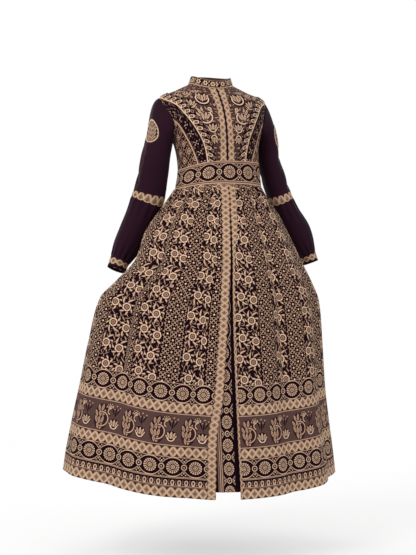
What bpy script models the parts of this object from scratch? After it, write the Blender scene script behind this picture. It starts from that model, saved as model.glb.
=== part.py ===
"""A long coat-like kaftan in its worn form: fitted bodice, waistband, gathered skirt and bishop sleeves.

The front faces -Y, +X is to the right as seen from the front, and the origin is between the shoulders.
Turn is an angle in degrees round the body: 0 at the centre front, 90 at +X and 180 at the centre back.
"""
import math
from collections import namedtuple

import bmesh
import bpy
from mathutils import Vector

# Cloth, in metres
WALL = 0.0015
BRAID_WALL = 0.0012
SEAM = 0.0004
OVERLAY = WALL + 0.0008
TRIM_OVERLAY = WALL + 0.0020
BELT_WALL = 0.0022
STEP = 0.002

# Driving sizes of the garment, in metres
COLLAR_HEIGHT = 0.026
PIPING_WIDTH = 0.003
PLACKET_BRAID_WIDTH = 0.023
TRIM_WIDTH = 0.028
SKIRT_BRAID_WIDTH = 0.027
UNDERLAY_DEPTH = 0.006
UNDERLAY_LEFT = 0.100
UNDERLAY_RIGHT = 0.030
UNDERLAY_ABOVE_HEM = 0.022
UNDERLAY_SINKS_OVER = 0.30
PATCH_HEIGHT = 0.082
PATCH_WIDTH = 0.058
PATCH_REACH = 1.8
PATCH_TURN = 35
BELOW_NECK = 0.15
BRAID_BELOW_SEAM = 0.004
BELOW_SHOULDER_TIP = 0.12

# Rows of each grid, the same for pieces that meet
BODICE_ROWS = 12
SKIRT_ROWS = 12
SKIRT_COLUMNS = 26

# Gathers of the skirt at the waistband
GATHERS = 30
GATHER_DEPTH = 0.0035
GATHER_FALL = 0.24
FLAT_FRONT = 13
GATHERS_FULL_FROM = 24

# Gathers of the lower sleeves
SLEEVE_GATHERS = 12
SLEEVE_GATHER_DEPTH = 0.0022

# Bodice and waistband: one closed ring round the body for each level, from the skirt's seam up to the neck
Ring = namedtuple("Ring", "level z_front z_left z_right z_back x y half_width front back squareness")
BODICE = [
    Ring(0, -0.3275, -0.342, -0.331, -0.3275, 0.018, -0.005, 0.1425, 0.108, 0.100, 2.1),
    Ring(1, -0.253, -0.278, -0.252, -0.256, 0.018, -0.005, 0.134, 0.104, 0.094, 2.1),
    Ring(2, -0.196, -0.206, -0.196, -0.197, 0.012, -0.005, 0.138, 0.120, 0.097, 2.2),
    Ring(3, -0.140, -0.147, -0.145, -0.140, 0.006, 0.000, 0.155, 0.132, 0.100, 2.3),
    Ring(4, -0.090, -0.096, -0.096, -0.088, 0.001, 0.000, 0.171, 0.120, 0.102, 2.3),
    Ring(5, -0.046, -0.047, -0.047, -0.034, -0.002, 0.005, 0.176, 0.092, 0.086, 2.1),
    Ring(6, -0.026, -0.019, -0.019, -0.004, -0.005, 0.005, 0.120, 0.077, 0.070, 2.0),
    Ring(7, -0.017, 0.003, 0.003, 0.011, -0.006, 0.003, 0.0735, 0.064, 0.061, 2.0),
]
BELT_BOTTOM, BELT_TOP, SHOULDER_TIP, NECK = 0, 1, 5, 7

# Skirt: one ring for each height, x is the opening's right edge and y the line where the ring is widest
Hoop = namedtuple("Hoop", "z lift_left lift_right x y left right front back back_squareness gap")
SKIRT = [
    Hoop(-0.3287, -0.0145, -0.0035, 0.018, -0.005, 0.1445, 0.1405, 0.108, 0.100, 2.0, 0.0004),
    Hoop(-0.370, -0.008, -0.002, 0.016, -0.010, 0.170, 0.165, 0.130, 0.122, 1.6, 0.0008),
    Hoop(-0.420, -0.002, 0.000, 0.011, -0.022, 0.202, 0.202, 0.142, 0.152, 1.4, 0.002),
    Hoop(-0.485, 0.003, 0.002, 0.006, -0.045, 0.243, 0.233, 0.148, 0.200, 1.3, 0.004),
    Hoop(-0.586, 0.009, 0.005, 0.000, -0.060, 0.276, 0.282, 0.165, 0.250, 1.3, 0.007),
    Hoop(-0.655, 0.015, 0.008, -0.005, -0.060, 0.330, 0.320, 0.180, 0.275, 1.35, 0.010),
    Hoop(-0.715, 0.020, 0.010, -0.007, -0.055, 0.380, 0.346, 0.195, 0.285, 1.4, 0.013),
    Hoop(-0.864, 0.032, 0.016, -0.011, -0.035, 0.409, 0.367, 0.240, 0.300, 1.6, 0.025),
    Hoop(-1.010, 0.042, 0.021, -0.012, -0.025, 0.434, 0.378, 0.275, 0.310, 1.7, 0.040),
    Hoop(-1.114, 0.050, 0.025, -0.011, -0.020, 0.455, 0.389, 0.292, 0.318, 1.8, 0.060),
    Hoop(-1.230, 0.060, 0.030, -0.009, -0.020, 0.478, 0.401, 0.308, 0.328, 1.9, 0.068),
    Hoop(-1.307, 0.066, 0.034, -0.008, -0.020, 0.490, 0.408, 0.316, 0.336, 1.9, 0.072),
]
WAIST_SEAM = SKIRT[0].z
HEM = SKIRT[-1].z

# Large folds of the skirt: troughs are negative, and depth grows from hip to knee to hem
Fold = namedtuple("Fold", "turn spread hip knee hem")
FOLDS = [
    Fold(-18, 7, -0.004, -0.012, -0.010),
    Fold(-34, 9, 0.003, 0.009, 0.008),
    Fold(-54, 8, -0.006, -0.016, -0.014),
    Fold(-73, 9, 0.003, 0.009, 0.010),
    Fold(28, 7, -0.008, -0.015, -0.012),
    Fold(46, 9, 0.003, 0.010, 0.010),
    Fold(63, 7, -0.005, -0.011, -0.011),
    Fold(80, 7, 0.002, 0.006, 0.008),
    Fold(106, 8, -0.003, -0.014, -0.018),
    Fold(122, 9, 0.003, 0.013, 0.017),
    Fold(139, 8, -0.004, -0.017, -0.021),
    Fold(156, 9, 0.004, 0.015, 0.019),
    Fold(172, 7, -0.004, -0.014, -0.019),
    Fold(-108, 9, -0.003, -0.015, -0.019),
    Fold(-126, 8, 0.003, 0.013, 0.018),
    Fold(-142, 8, -0.004, -0.016, -0.021),
    Fold(-160, 9, 0.004, 0.014, 0.018),
]
HIP_Z, KNEE_Z = -0.45, -0.85

# Armhole: an upright oval in turn and level, from the shoulder tip round the front to the underarm
ARMHOLE_TURN = 22
ARMHOLE_NARROWING = 0.4
ARMHOLE_BOTTOM = 2.72

# Seams of the front, each point given by its distance from the centre line and its height
Stop = namedtuple("Stop", "aside z")
TRIM_LINE = [
    Stop(0.065, -0.2475), Stop(0.073, -0.205), Stop(0.094, -0.155), Stop(0.124, -0.104), Stop(0.150, -0.070),
]
PIPED_LINE = [Stop(0.093, -0.2475), Stop(0.118, -0.188), Stop(0.136, -0.148)]
PIPED_LINE_END = 110
BACK_LINE = [
    Stop(0.052, -0.2475), Stop(0.062, -0.195), Stop(0.084, -0.145), Stop(0.118, -0.095), Stop(0.146, -0.060),
]

# Sleeves: across is the half width seen from the front, deep the half width front to back
Cuff = namedtuple("Cuff", "reach x y z across deep")
SLEEVES = {
    "left": [
        Cuff(2, -0.179, 0.004, -0.180, 0.043, 0.053),
        Cuff(3, -0.190, 0.008, -0.230, 0.046, 0.048),
        Cuff(4, -0.198, 0.014, -0.290, 0.049, 0.042),
        Cuff(5, -0.208, 0.024, -0.354, 0.052, 0.037),
        Cuff(6, -0.215, 0.032, -0.380, 0.052, 0.037),
        Cuff(7, -0.2316, 0.042, -0.425, 0.049, 0.041),
        Cuff(8, -0.2526, 0.048, -0.478, 0.049, 0.044),
        Cuff(9, -0.280, 0.050, -0.532, 0.043, 0.040),
        Cuff(10, -0.303, 0.046, -0.576, 0.031, 0.029),
        Cuff(11, -0.315, 0.042, -0.604, 0.029, 0.028),
    ],
    "right": [
        Cuff(2, 0.1895, 0.010, -0.180, 0.034, 0.057),
        Cuff(3, 0.197, 0.014, -0.230, 0.036, 0.054),
        Cuff(4, 0.216, 0.017, -0.290, 0.038, 0.052),
        Cuff(5, 0.237, 0.020, -0.349, 0.038, 0.050),
        Cuff(6, 0.2475, 0.024, -0.372, 0.038, 0.050),
        Cuff(7, 0.271, 0.030, -0.418, 0.043, 0.049),
        Cuff(8, 0.303, 0.036, -0.470, 0.049, 0.046),
        Cuff(9, 0.327, 0.038, -0.515, 0.042, 0.041),
        Cuff(10, 0.347, 0.034, -0.553, 0.026, 0.031),
        Cuff(11, 0.357, 0.032, -0.580, 0.024, 0.030),
    ],
}
CAP_END, ELBOW_TOP, ELBOW_BOTTOM, CUFF_TOP, CUFF_BOTTOM = 2, 5, 6, 10, 11

# Sleeve caps: how far they swell out of the armhole and how steeply they leave it
Cap = namedtuple("Cap", "puff drop")
CAPS = {-1: Cap(0.7, 0.25), 1: Cap(0.35, 0.60)}

# Drag creases of the upper sleeves, running down across the arm
Crease = namedtuple("Crease", "reach turn slope spread depth")
SLEEVE_CREASES = [
    Crease(3.2, 40, 0.010, 0.28, -0.0035),
    Crease(4.0, 70, 0.010, 0.26, -0.0040),
    Crease(4.5, 20, 0.012, 0.24, -0.0040),
    Crease(3.6, 230, -0.010, 0.28, -0.0035),
    Crease(4.4, 260, -0.010, 0.26, -0.0035),
]
CREASE_LENGTH = 70

Finish = namedtuple("Finish", "colour roughness metallic")
FINISHES = {
    "brocade": Finish((0.105, 0.060, 0.052), 0.80, 0.0),
    "dark_ground": Finish((0.020, 0.008, 0.018), 0.80, 0.0),
    "beige_braid": Finish((0.480, 0.320, 0.190), 0.65, 0.0),
    "dark_piping": Finish((0.010, 0.004, 0.010), 0.60, 0.0),
    "plum_crepe": Finish((0.022, 0.006, 0.018), 0.75, 0.0),
}


def clear_scene():
    for thing in list(bpy.data.objects):
        bpy.data.objects.remove(thing, do_unlink=True)


def material_of(finish_name):
    material = bpy.data.materials.get(finish_name)
    if material:
        return material
    finish = FINISHES[finish_name]
    material = bpy.data.materials.new(finish_name)
    material.use_nodes = True
    shader = material.node_tree.nodes["Principled BSDF"]
    shader.inputs["Base Color"].default_value = (*finish.colour, 1)
    shader.inputs["Roughness"].default_value = finish.roughness
    shader.inputs["Metallic"].default_value = finish.metallic
    return material


def ease(value):
    value = min(max(value, 0.0), 1.0)
    return value * value * (3 - 2 * value)


def smooth_row(rows, keys, where):
    """Reads a table between its rows on one smooth curve for each column, and runs straight on past its ends."""
    last = len(rows) - 1
    falling = keys[-1] < keys[0]
    i = 0
    while i < last - 1 and (where < keys[i + 1] if falling else where > keys[i + 1]):
        i += 1
    span = keys[i + 1] - keys[i]
    t = (where - keys[i]) / span

    def tilt(k, column):
        low, high = max(k - 1, 0), min(k + 1, last)
        return (rows[high][column] - rows[low][column]) / (keys[high] - keys[low]) * span

    values = []
    for column in range(len(rows[0])):
        start, end = rows[i][column], rows[i + 1][column]
        leave, arrive = tilt(i, column), tilt(i + 1, column)
        if t < 0:
            values.append(start + leave * t)
        elif t > 1:
            values.append(end + arrive * (t - 1))
        else:
            ahead = end - start
            values.append(start + leave * t + (3 * ahead - 2 * leave - arrive) * t**2
                          + (leave + arrive - 2 * ahead) * t**3)
    return type(rows[0])(*values)


def part_of_circle(value, squareness):
    return math.copysign(abs(value) ** (2 / squareness), value)


def torso(turn, level):
    """The bodice and waistband: a point for each turn and level."""
    ring = smooth_row(BODICE, [row.level for row in BODICE], level)
    sine, cosine = math.sin(math.radians(turn)), math.cos(math.radians(turn))
    depth, height = (ring.front, ring.z_front) if cosine > 0 else (ring.back, ring.z_back)
    side_height = ring.z_right if sine > 0 else ring.z_left
    return Vector((
        ring.x + ring.half_width * part_of_circle(sine, ring.squareness),
        ring.y - depth * part_of_circle(cosine, ring.squareness),
        side_height + (height - side_height) * cosine * cosine,
    ))


def fold_depth(turn, z):
    """How far the large folds push the skirt in or out."""
    total = 0.0
    for fold in FOLDS:
        away = abs((turn - fold.turn + 180) % 360 - 180) / fold.spread
        if away < 1.8:
            bell = math.exp(-away * away * 1.5)
            if z > KNEE_Z:
                depth = fold.hip + (fold.knee - fold.hip) * ease((HIP_Z - z) / (HIP_Z - KNEE_Z))
            else:
                depth = fold.knee + (fold.hem - fold.knee) * ease((KNEE_Z - z) / (KNEE_Z - HEM))
            total += depth * bell * ease((WAIST_SEAM - z) / (WAIST_SEAM - HIP_Z))
    return total


def gather_depth(turn, z):
    """The small gathers under the waistband, none on the flat front edges."""
    away = abs((turn + 180) % 360 - 180)
    fullness = ease((away - FLAT_FRONT) / (GATHERS_FULL_FROM - FLAT_FRONT))
    fade = max(0.0, 1 - (WAIST_SEAM - z) / GATHER_FALL)
    return GATHER_DEPTH * fullness * fade * fade * math.cos(math.radians(GATHERS * turn))


def skirt(turn, z):
    """The skirt: a point for each turn and height."""
    hoop = smooth_row(SKIRT, [row.z for row in SKIRT], z)
    sine, cosine = math.sin(math.radians(turn)), math.cos(math.radians(turn))
    half, lift = (hoop.right, hoop.lift_right) if sine > 0 else (hoop.left, hoop.lift_left)
    depth, squareness = (hoop.front, 2.0) if cosine > 0 else (hoop.back, hoop.back_squareness)
    out = Vector((
        half * part_of_circle(sine, squareness),
        -depth * part_of_circle(cosine, squareness),
        0.0,
    ))
    out += out.normalized() * (fold_depth(turn, z) + gather_depth(turn, z))
    return out + Vector((hoop.x, hoop.y, z + lift * sine * sine))


def neck_collar(turn, height):
    """The stand collar: height runs from 0 at its seam to 1 at its top."""
    base = torso(turn, NECK)
    middle = Vector((BODICE[-1].x, BODICE[-1].y, 0))
    lean = 1 - 0.115 * height
    rise = WALL + SEAM + COLLAR_HEIGHT * height
    flat = Vector((base.x, base.y, 0)) - middle
    return middle + flat * lean + Vector((0, 0, base.z + rise))


def armhole(angle, side):
    """Turn and level on the armhole: 0 is the shoulder tip, 90 the front and 180 the underarm."""
    middle = (SHOULDER_TIP + ARMHOLE_BOTTOM) / 2
    half = (SHOULDER_TIP - ARMHOLE_BOTTOM) / 2
    bend = math.radians(angle)
    reach_forward = ARMHOLE_TURN * math.sin(bend) * (1 - ARMHOLE_NARROWING * math.cos(bend))
    return side * (90 - reach_forward), middle + half * math.cos(bend)


def crease_depth(turn, reach):
    """The soft diagonal creases of an upper sleeve."""
    total = 0.0
    for crease in SLEEVE_CREASES:
        away = (turn - crease.turn + 180) % 360 - 180
        if abs(away) < CREASE_LENGTH:
            offset = (reach - crease.reach - crease.slope * away) / crease.spread
            total += crease.depth * math.exp(-offset * offset) * math.cos(math.radians(90 * away / CREASE_LENGTH))
    return total


def sleeve_oval(rows, side, turn, reach):
    """A place on the sleeve's oval below its cap, and the arm's direction there."""
    keys = [row.reach for row in rows]
    here = smooth_row(rows, keys, reach)
    ahead = smooth_row(rows, keys, reach + 0.05)
    behind = smooth_row(rows, keys, reach - 0.05)
    along = Vector((ahead.x - behind.x, ahead.y - behind.y, ahead.z - behind.z)).normalized()
    front = Vector((0, -1, 0))
    front = (front - along * front.dot(along)).normalized()
    outer = front.cross(along) * side
    bend = math.radians(turn)
    swell = 0.0
    if ELBOW_BOTTOM < reach < CUFF_TOP:
        middle = (ELBOW_BOTTOM + CUFF_TOP) / 2
        near_end = abs(reach - middle) / (CUFF_TOP - middle)
        swell = SLEEVE_GATHER_DEPTH * near_end**1.5 * math.cos(SLEEVE_GATHERS * bend)
        swell *= ease((reach - ELBOW_BOTTOM) * 4) * ease((CUFF_TOP - reach) * 4)
    elif reach < ELBOW_TOP:
        swell = crease_depth(turn, reach) * ease((ELBOW_TOP - reach) * 3) * ease((reach - CAP_END) * 2)
    place = Vector((here.x, here.y, here.z))
    place += outer * (here.across + swell) * math.cos(bend) + front * (here.deep + swell) * math.sin(bend)
    return place, along


def sleeve_point(rows, side, turn, reach):
    """A sleeve: turn is 0 on its outer line, 90 at its front and 180 on its inner line."""
    if reach >= CAP_END:
        return sleeve_oval(rows, side, turn, reach)[0]
    t = reach / CAP_END
    seam = armhole_edge(turn, side)
    end, along = sleeve_oval(rows, side, turn, CAP_END)
    ahead = end - seam
    under = (1 - math.cos(math.radians(turn))) / 2
    leave = Vector((side * (1 - 0.65 * under), 0, -CAPS[side].drop - 0.75 * under)).normalized()
    leave *= ahead.length * CAPS[side].puff
    arrive = along * ahead.length
    return (seam + leave * t + (3 * ahead - 2 * leave - arrive) * t**2
            + (leave + arrive - 2 * ahead) * t**3)


def armhole_edge(angle, side):
    """The sleeve's seam, laid just outside the bodice's edge."""
    turn, level = armhole(angle, side)
    along_turn, along_level = slopes(torso, turn, level, 0.5, 0.01)
    under = (1 - math.cos(math.radians(angle))) / 2
    out = along_turn.cross(along_level).normalized()
    return torso(turn, level) + out * (WALL + SEAM + 1.4 * WALL * under)


def sleeve_of(side_name):
    side = -1 if side_name == "left" else 1

    def place(turn, reach):
        return sleeve_point(SLEEVES[side_name], side, turn, reach)

    return place


def slopes(ground, a, b, step_a, step_b):
    """The two directions in which the surface runs at a place, for one unit of each value."""
    along_a = (ground(a + step_a, b) - ground(a - step_a, b)) / (2 * step_a)
    along_b = (ground(a, b + step_b) - ground(a, b - step_b)) / (2 * step_b)
    return along_a, along_b


def find(ground, aside, z, side, turn, level):
    """Turn and level of the place that is aside from the centre line at a height, from a first guess."""
    for _ in range(12):
        here = ground(turn, level)
        centre = ground(0, level).x
        miss_x, miss_z = centre + side * aside - here.x, z - here.z
        along_turn, along_level = slopes(ground, turn, level, 0.5, 0.01)
        scale = along_turn.x * along_level.z - along_turn.z * along_level.x
        turn += (miss_x * along_level.z - miss_z * along_level.x) / scale
        level += (miss_z * along_turn.x - miss_x * along_turn.z) / scale
    return turn, level


def line_through(places):
    """A smooth line through (turn, level) places, run from 0 to 1."""
    Place = namedtuple("Place", "turn level")
    rows = [Place(*place) for place in places]
    keys = [i / (len(rows) - 1) for i in range(len(rows))]

    def line(t):
        return tuple(smooth_row(rows, keys, t))

    return line


def straight(start, end):
    return lambda t: (start[0] + (end[0] - start[0]) * t, start[1] + (end[1] - start[1]) * t)


def chained(first, second, share):
    """Two lines run one after the other, the first over its share."""
    return lambda t: first(t / share) if t <= share else second((t - share) / (1 - share))


def patch(bottom, top, left, right):
    """A four-sided piece of pattern between four lines: bottom and top run left to right."""

    def plan(u, v):
        place = []
        for axis in (0, 1):
            corners = (
                (1 - u) * (1 - v) * bottom(0)[axis]
                + u * (1 - v) * bottom(1)[axis]
                + (1 - u) * v * top(0)[axis]
                + u * v * top(1)[axis]
            )
            sides = (1 - v) * bottom(u)[axis] + v * top(u)[axis]
            ends = (1 - u) * left(v)[axis] + u * right(v)[axis]
            place.append(sides + ends - corners)
        return tuple(place)

    return plan


def moved_aside(ground, line, distance):
    """A line beside another, at a distance measured square to it on the cloth. Positive is to the left."""

    def beside(t):
        a, b = line(t)
        before, after = line(max(t - 0.01, 0)), line(min(t + 0.01, 1))
        way = (ground(*after) - ground(*before)).normalized()
        along_turn, along_level = slopes(ground, a, b, 0.5, 0.01)
        aim = along_turn.cross(along_level).cross(way).normalized() * distance
        tt, tl, ll = along_turn.dot(along_turn), along_turn.dot(along_level), along_level.dot(along_level)
        at, al = aim.dot(along_turn), aim.dot(along_level)
        scale = tt * ll - tl * tl
        return a + (at * ll - al * tl) / scale, b + (al * tt - at * tl) / scale

    return beside


def moved_round(ground, line, distance):
    """A line beside another at the same levels, at a distance measured round the body. Positive is towards +X."""

    def beside(t):
        turn, level = line(t)
        width = distance(t) if callable(distance) else distance
        return turn + width / slopes(ground, turn, level, 0.5, 0.01)[0].length, level

    return beside


def between(first, second):
    """A strip between two lines that run the same way."""

    def plan(u, v):
        start, end = first(v), second(v)
        return start[0] + (end[0] - start[0]) * u, start[1] + (end[1] - start[1]) * u

    return plan


def cloth(name, ground, plan, columns, rows, finish, tube=False, lift=0.0, wall=WALL, facing=1):
    """One piece of cloth: a grid laid on the surface, moved out by its lift and closed to a wall."""
    sheet = bmesh.new()
    bmesh.ops.create_grid(sheet, x_segments=columns, y_segments=rows, size=0.5)
    keep_u = sheet.verts.layers.float.new("u")
    keep_v = sheet.verts.layers.float.new("v")
    for vertex in sheet.verts:
        u, v = vertex.co.x + 0.5, vertex.co.y + 0.5
        vertex[keep_u], vertex[keep_v] = u, v
        vertex.co = ground(*plan(u, v))
    if tube:
        bmesh.ops.remove_doubles(sheet, verts=sheet.verts[:], dist=0.00001)
    pulled = {}
    for vertex in sheet.verts:
        u, v = vertex[keep_u], vertex[keep_v]
        inward_u = 0 if tube else (u < 0.0001) - (u > 0.9999)
        inward_v = (v < 0.0001) - (v > 0.9999)
        for inward, nudge in ((inward_u, (STEP, 0)), (inward_v, (0, STEP))):
            if inward:
                inner = ground(*plan(u + inward * nudge[0], v + inward * nudge[1]))
                pull = (inner - ground(*plan(u, v))).normalized() * SEAM / 2
                pulled[vertex] = pulled.get(vertex, Vector()) + pull
    for vertex, pull in pulled.items():
        vertex.co += pull
    inner_layer = sheet.verts[:]
    extruded = bmesh.ops.extrude_face_region(sheet, geom=sheet.faces[:], use_keep_orig=True)
    outer_layer = [item for item in extruded["geom"] if isinstance(item, bmesh.types.BMVert)]
    for layer, distance in ((inner_layer, lift), (outer_layer, lift + wall)):
        for vertex in layer:
            a, b = plan(vertex[keep_u], vertex[keep_v])
            along_turn, along_level = slopes(ground, a, b, 0.5, 0.01)
            vertex.co += along_turn.cross(along_level).normalized() * facing * distance
    bmesh.ops.recalc_face_normals(sheet, faces=sheet.faces[:])
    mesh = bpy.data.meshes.new(name)
    sheet.to_mesh(mesh)
    sheet.free()
    mesh.shade_smooth()
    mesh.set_sharp_from_angle(angle=math.radians(50))
    mesh.materials.append(material_of(finish))
    piece = bpy.data.objects.new(name, mesh)
    bpy.context.scene.collection.objects.link(piece)
    return piece


def seam_line(stops, side, end, first_turn):
    """A seam of the bodice from the waist up to a place on the armhole."""
    places = []
    guess = (side * first_turn, 1.1)
    for stop in stops:
        guess = find(torso, stop.aside, stop.z, side, *guess)
        places.append(guess)
    places[0] = (places[0][0], BELT_TOP)
    places.append(armhole(end, side))
    return line_through(places)


def trim_edges(side, trim_line):
    """The inner and outer edge of the curved trim, which ends on the shoulder seam."""
    steps = (0.2, 0.4, 0.6, 0.8)
    aside = moved_aside(torso, trim_line, side * TRIM_WIDTH)
    start = moved_round(torso, trim_line, -side * TRIM_WIDTH)(0)
    ridge = (torso(side * 90, SHOULDER_TIP + 1) - torso(side * 90, SHOULDER_TIP)).length
    tip = SHOULDER_TIP + BELOW_SHOULDER_TIP
    inner = line_through([start] + [aside(t) for t in steps] + [(side * 90, tip + TRIM_WIDTH / ridge)])
    outer = line_through([trim_line(0)] + [trim_line(t) for t in steps] + [(side * 90, tip)])
    return inner, outer


def make_bodice(side_name, side):
    """The three front panels of one side with the trims that lie on them."""
    trim_line = seam_line(TRIM_LINE, side, 0, 25)
    piped_line = seam_line(PIPED_LINE, side, PIPED_LINE_END, 40)
    front_edge = line_through([(0, BELT_TOP), (0, 4), (0, NECK)])
    piping_edge = moved_round(torso, front_edge, side * PIPING_WIDTH)
    inner, outer = trim_edges(side, trim_line)
    neck = straight(piping_edge(1), (side * 90, NECK))
    shoulder = straight((side * 90, NECK), (side * 90, SHOULDER_TIP))
    side_seam = straight((side * 90, BELT_TOP), armhole(180, side))

    cloth(f"bodice_front_centre_{side_name}", torso, patch(
        straight(piping_edge(0), trim_line(0)), chained(neck, shoulder, 0.5), piping_edge, trim_line,
    ), 12, BODICE_ROWS, "brocade")
    cloth(f"bodice_front_mid_{side_name}", torso, patch(
        straight(trim_line(0), piped_line(0)),
        lambda t: armhole(PIPED_LINE_END * t, side), trim_line, piped_line,
    ), 4, BODICE_ROWS, "dark_ground")
    cloth(f"bodice_front_side_{side_name}", torso, patch(
        straight(piped_line(0), (side * 90, BELT_TOP)),
        lambda t: armhole(PIPED_LINE_END + (180 - PIPED_LINE_END) * t, side), piped_line, side_seam,
    ), 5, BODICE_ROWS, "brocade")
    trim_front = line_through([(0, BELT_TOP), (0, 4), (0, NECK - BELOW_NECK)])
    piping = moved_round(torso, trim_front, side * PIPING_WIDTH)
    cloth(f"front_piping_{side_name}", torso, between(trim_front, piping), 1, BODICE_ROWS, "dark_piping",
          wall=WALL + BRAID_WALL)
    placket_outer = moved_round(torso, piping, side * PLACKET_BRAID_WIDTH)
    cloth(f"placket_braid_{side_name}", torso, between(piping, placket_outer), 2, BODICE_ROWS, "beige_braid",
          lift=OVERLAY, wall=BRAID_WALL)
    cloth(f"shoulder_trim_{side_name}", torso, between(inner, outer), 3, BODICE_ROWS, "beige_braid",
          lift=TRIM_OVERLAY, wall=BRAID_WALL)


def make_back():
    """The centre back panel and the two side backs."""
    lines = {}
    for side_name, side in (("left", -1), ("right", 1)):
        places = []
        guess = (side * 155, 1.1)
        for stop in BACK_LINE:
            guess = find(torso, stop.aside, stop.z, side, *guess)
            places.append(guess)
        places[0] = (places[0][0], BELT_TOP)
        places.append(armhole(0, side))
        lines[side] = line_through(places)
    right = lines[1]

    def left(t):
        turn, level = lines[-1](t)
        return turn + 360, level

    shoulder_left = straight((270, SHOULDER_TIP), (270, NECK))
    neck = straight((270, NECK), (90, NECK))
    shoulder_right = straight((90, NECK), (90, SHOULDER_TIP))
    top = chained(shoulder_left, chained(neck, shoulder_right, 0.6), 0.286)
    cloth("bodice_back", torso, patch(straight(left(0), right(0)), top, left, right), 12, BODICE_ROWS, "brocade")
    for side_name, side in (("left", -1), ("right", 1)):
        side_seam = straight((side * 90, BELT_TOP), armhole(180, side))
        cloth(f"bodice_back_side_{side_name}", torso, patch(
            straight((side * 90, BELT_TOP), lines[side](0)),
            lambda t, side=side: armhole(180 + 180 * t, side), side_seam, lines[side],
        ), 6, BODICE_ROWS, "brocade")


def make_collar():
    cloth("collar", neck_collar, lambda u, v: (0.4 + 359.2 * u, v), 26, 2, "beige_braid")


def make_belt():
    cloth("waistband", torso, lambda u, v: (360 * u, BELT_BOTTOM + (BELT_TOP - BELT_BOTTOM) * v), 36, 2,
          "brocade", tube=True, wall=BELT_WALL)


def skirt_height(v):
    return HEM + (WAIST_SEAM - HEM) * v


def left_edge(v):
    """The left front's edge, which stands away from the right one further down."""
    z = skirt_height(v)
    gap = smooth_row(SKIRT, [row.z for row in SKIRT], z).gap
    along_turn = slopes(skirt, 0, z, 0.5, 0.01)[0].length
    return -gap / along_turn, z


def right_edge(v):
    return 0.0, skirt_height(v)


def below_seam(edge):
    """An edge line whose top end stays clear of the waistband."""

    def line(v):
        turn, z = edge(v)
        return turn, min(z, WAIST_SEAM - BRAID_BELOW_SEAM)

    return line


def right_braid_width(v):
    """The right braid is turned under below the hip, so that only its edge shows."""
    return 0.007 + 0.013 * ease((v - 0.74) / 0.14)


def make_skirt():
    quarters = [
        ("skirt_front_left", left_edge, lambda v: (-90, skirt_height(v))),
        ("skirt_front_right", right_edge, lambda v: (90, skirt_height(v))),
        ("skirt_back_left", lambda v: (-90, skirt_height(v)), lambda v: (-180, skirt_height(v))),
        ("skirt_back_right", lambda v: (90, skirt_height(v)), lambda v: (180, skirt_height(v))),
    ]
    for name, start, end in quarters:
        cloth(name, skirt, between(start, end), SKIRT_COLUMNS, SKIRT_ROWS, "brocade")
    left_start, right_start = below_seam(left_edge), below_seam(right_edge)
    left_braid = moved_round(skirt, left_start, -SKIRT_BRAID_WIDTH)
    cloth("skirt_braid_left", skirt, between(left_start, left_braid), 2, SKIRT_ROWS, "beige_braid",
          lift=OVERLAY, wall=BRAID_WALL)
    right_braid = moved_round(skirt, right_start, right_braid_width)
    cloth("skirt_braid_right", skirt, between(right_start, right_braid), 2, SKIRT_ROWS, "beige_braid",
          lift=OVERLAY, wall=BRAID_WALL)


def make_underlay():
    """The panel that shows in the skirt's opening, hung from the waist seam behind both fronts."""
    short = UNDERLAY_ABOVE_HEM / (WAIST_SEAM - HEM)

    def edge(width):
        def line(v):
            z = skirt_height(short + (1 - short) * v)
            near_waist = 0.35 + 0.65 * ease((WAIST_SEAM - z) / 0.5)
            return width * near_waist / slopes(skirt, 0, z, 0.5, 0.01)[0].length, z
        return line

    def behind(turn, z):
        outward = Vector((math.sin(math.radians(turn)), -math.cos(math.radians(turn)), 0))
        sink = WALL + SEAM + (UNDERLAY_DEPTH - WALL - SEAM) * ease((WAIST_SEAM - z) / UNDERLAY_SINKS_OVER)
        return skirt(turn, z) - outward * sink

    cloth("skirt_underlay", behind, between(edge(-UNDERLAY_LEFT), edge(UNDERLAY_RIGHT)), 4, SKIRT_ROWS,
          "dark_ground")


def make_sleeve(side_name):
    ground = sleeve_of(side_name)
    facing = -1 if side_name == "left" else 1

    def stretch(name, start, end, columns, steps, finish, **more):
        cloth(f"{name}_{side_name}", ground, lambda u, v: (360 * u, end + (start - end) * v), columns,
              steps, finish, tube=True, facing=facing, **more)

    stretch("sleeve_upper", 0.0, ELBOW_TOP, 24, 8, "plum_crepe")
    stretch("elbow_braid", ELBOW_TOP, ELBOW_BOTTOM, 20, 1, "beige_braid", wall=BELT_WALL)
    stretch("sleeve_lower", ELBOW_BOTTOM, CUFF_TOP, 36, 7, "plum_crepe")
    stretch("cuff_braid", CUFF_TOP, CUFF_BOTTOM, 20, 1, "beige_braid", wall=BELT_WALL)


def make_patch(side_name):
    """The oval patch on an upper sleeve."""
    ground = sleeve_of(side_name)
    along_turn, along_reach = slopes(ground, PATCH_TURN, PATCH_REACH, 0.5, 0.01)
    half_turn = PATCH_WIDTH / 2 / along_turn.length
    half_reach = PATCH_HEIGHT / 2 / along_reach.length

    def plan(u, v):
        x, y = 2 * u - 1, 2 * v - 1
        turn = PATCH_TURN + half_turn * x * math.sqrt(1 - y * y / 2)
        return turn, PATCH_REACH - half_reach * y * math.sqrt(1 - x * x / 2)

    cloth(f"sleeve_patch_{side_name}", ground, plan, 6, 6, "beige_braid", lift=OVERLAY, wall=BRAID_WALL,
          facing=-1 if side_name == "left" else 1)


clear_scene()
make_collar()
make_bodice("left", -1)
make_bodice("right", 1)
make_back()
make_belt()
make_skirt()
make_underlay()
make_sleeve("left")
make_sleeve("right")
make_patch("left")
make_patch("right")
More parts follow.
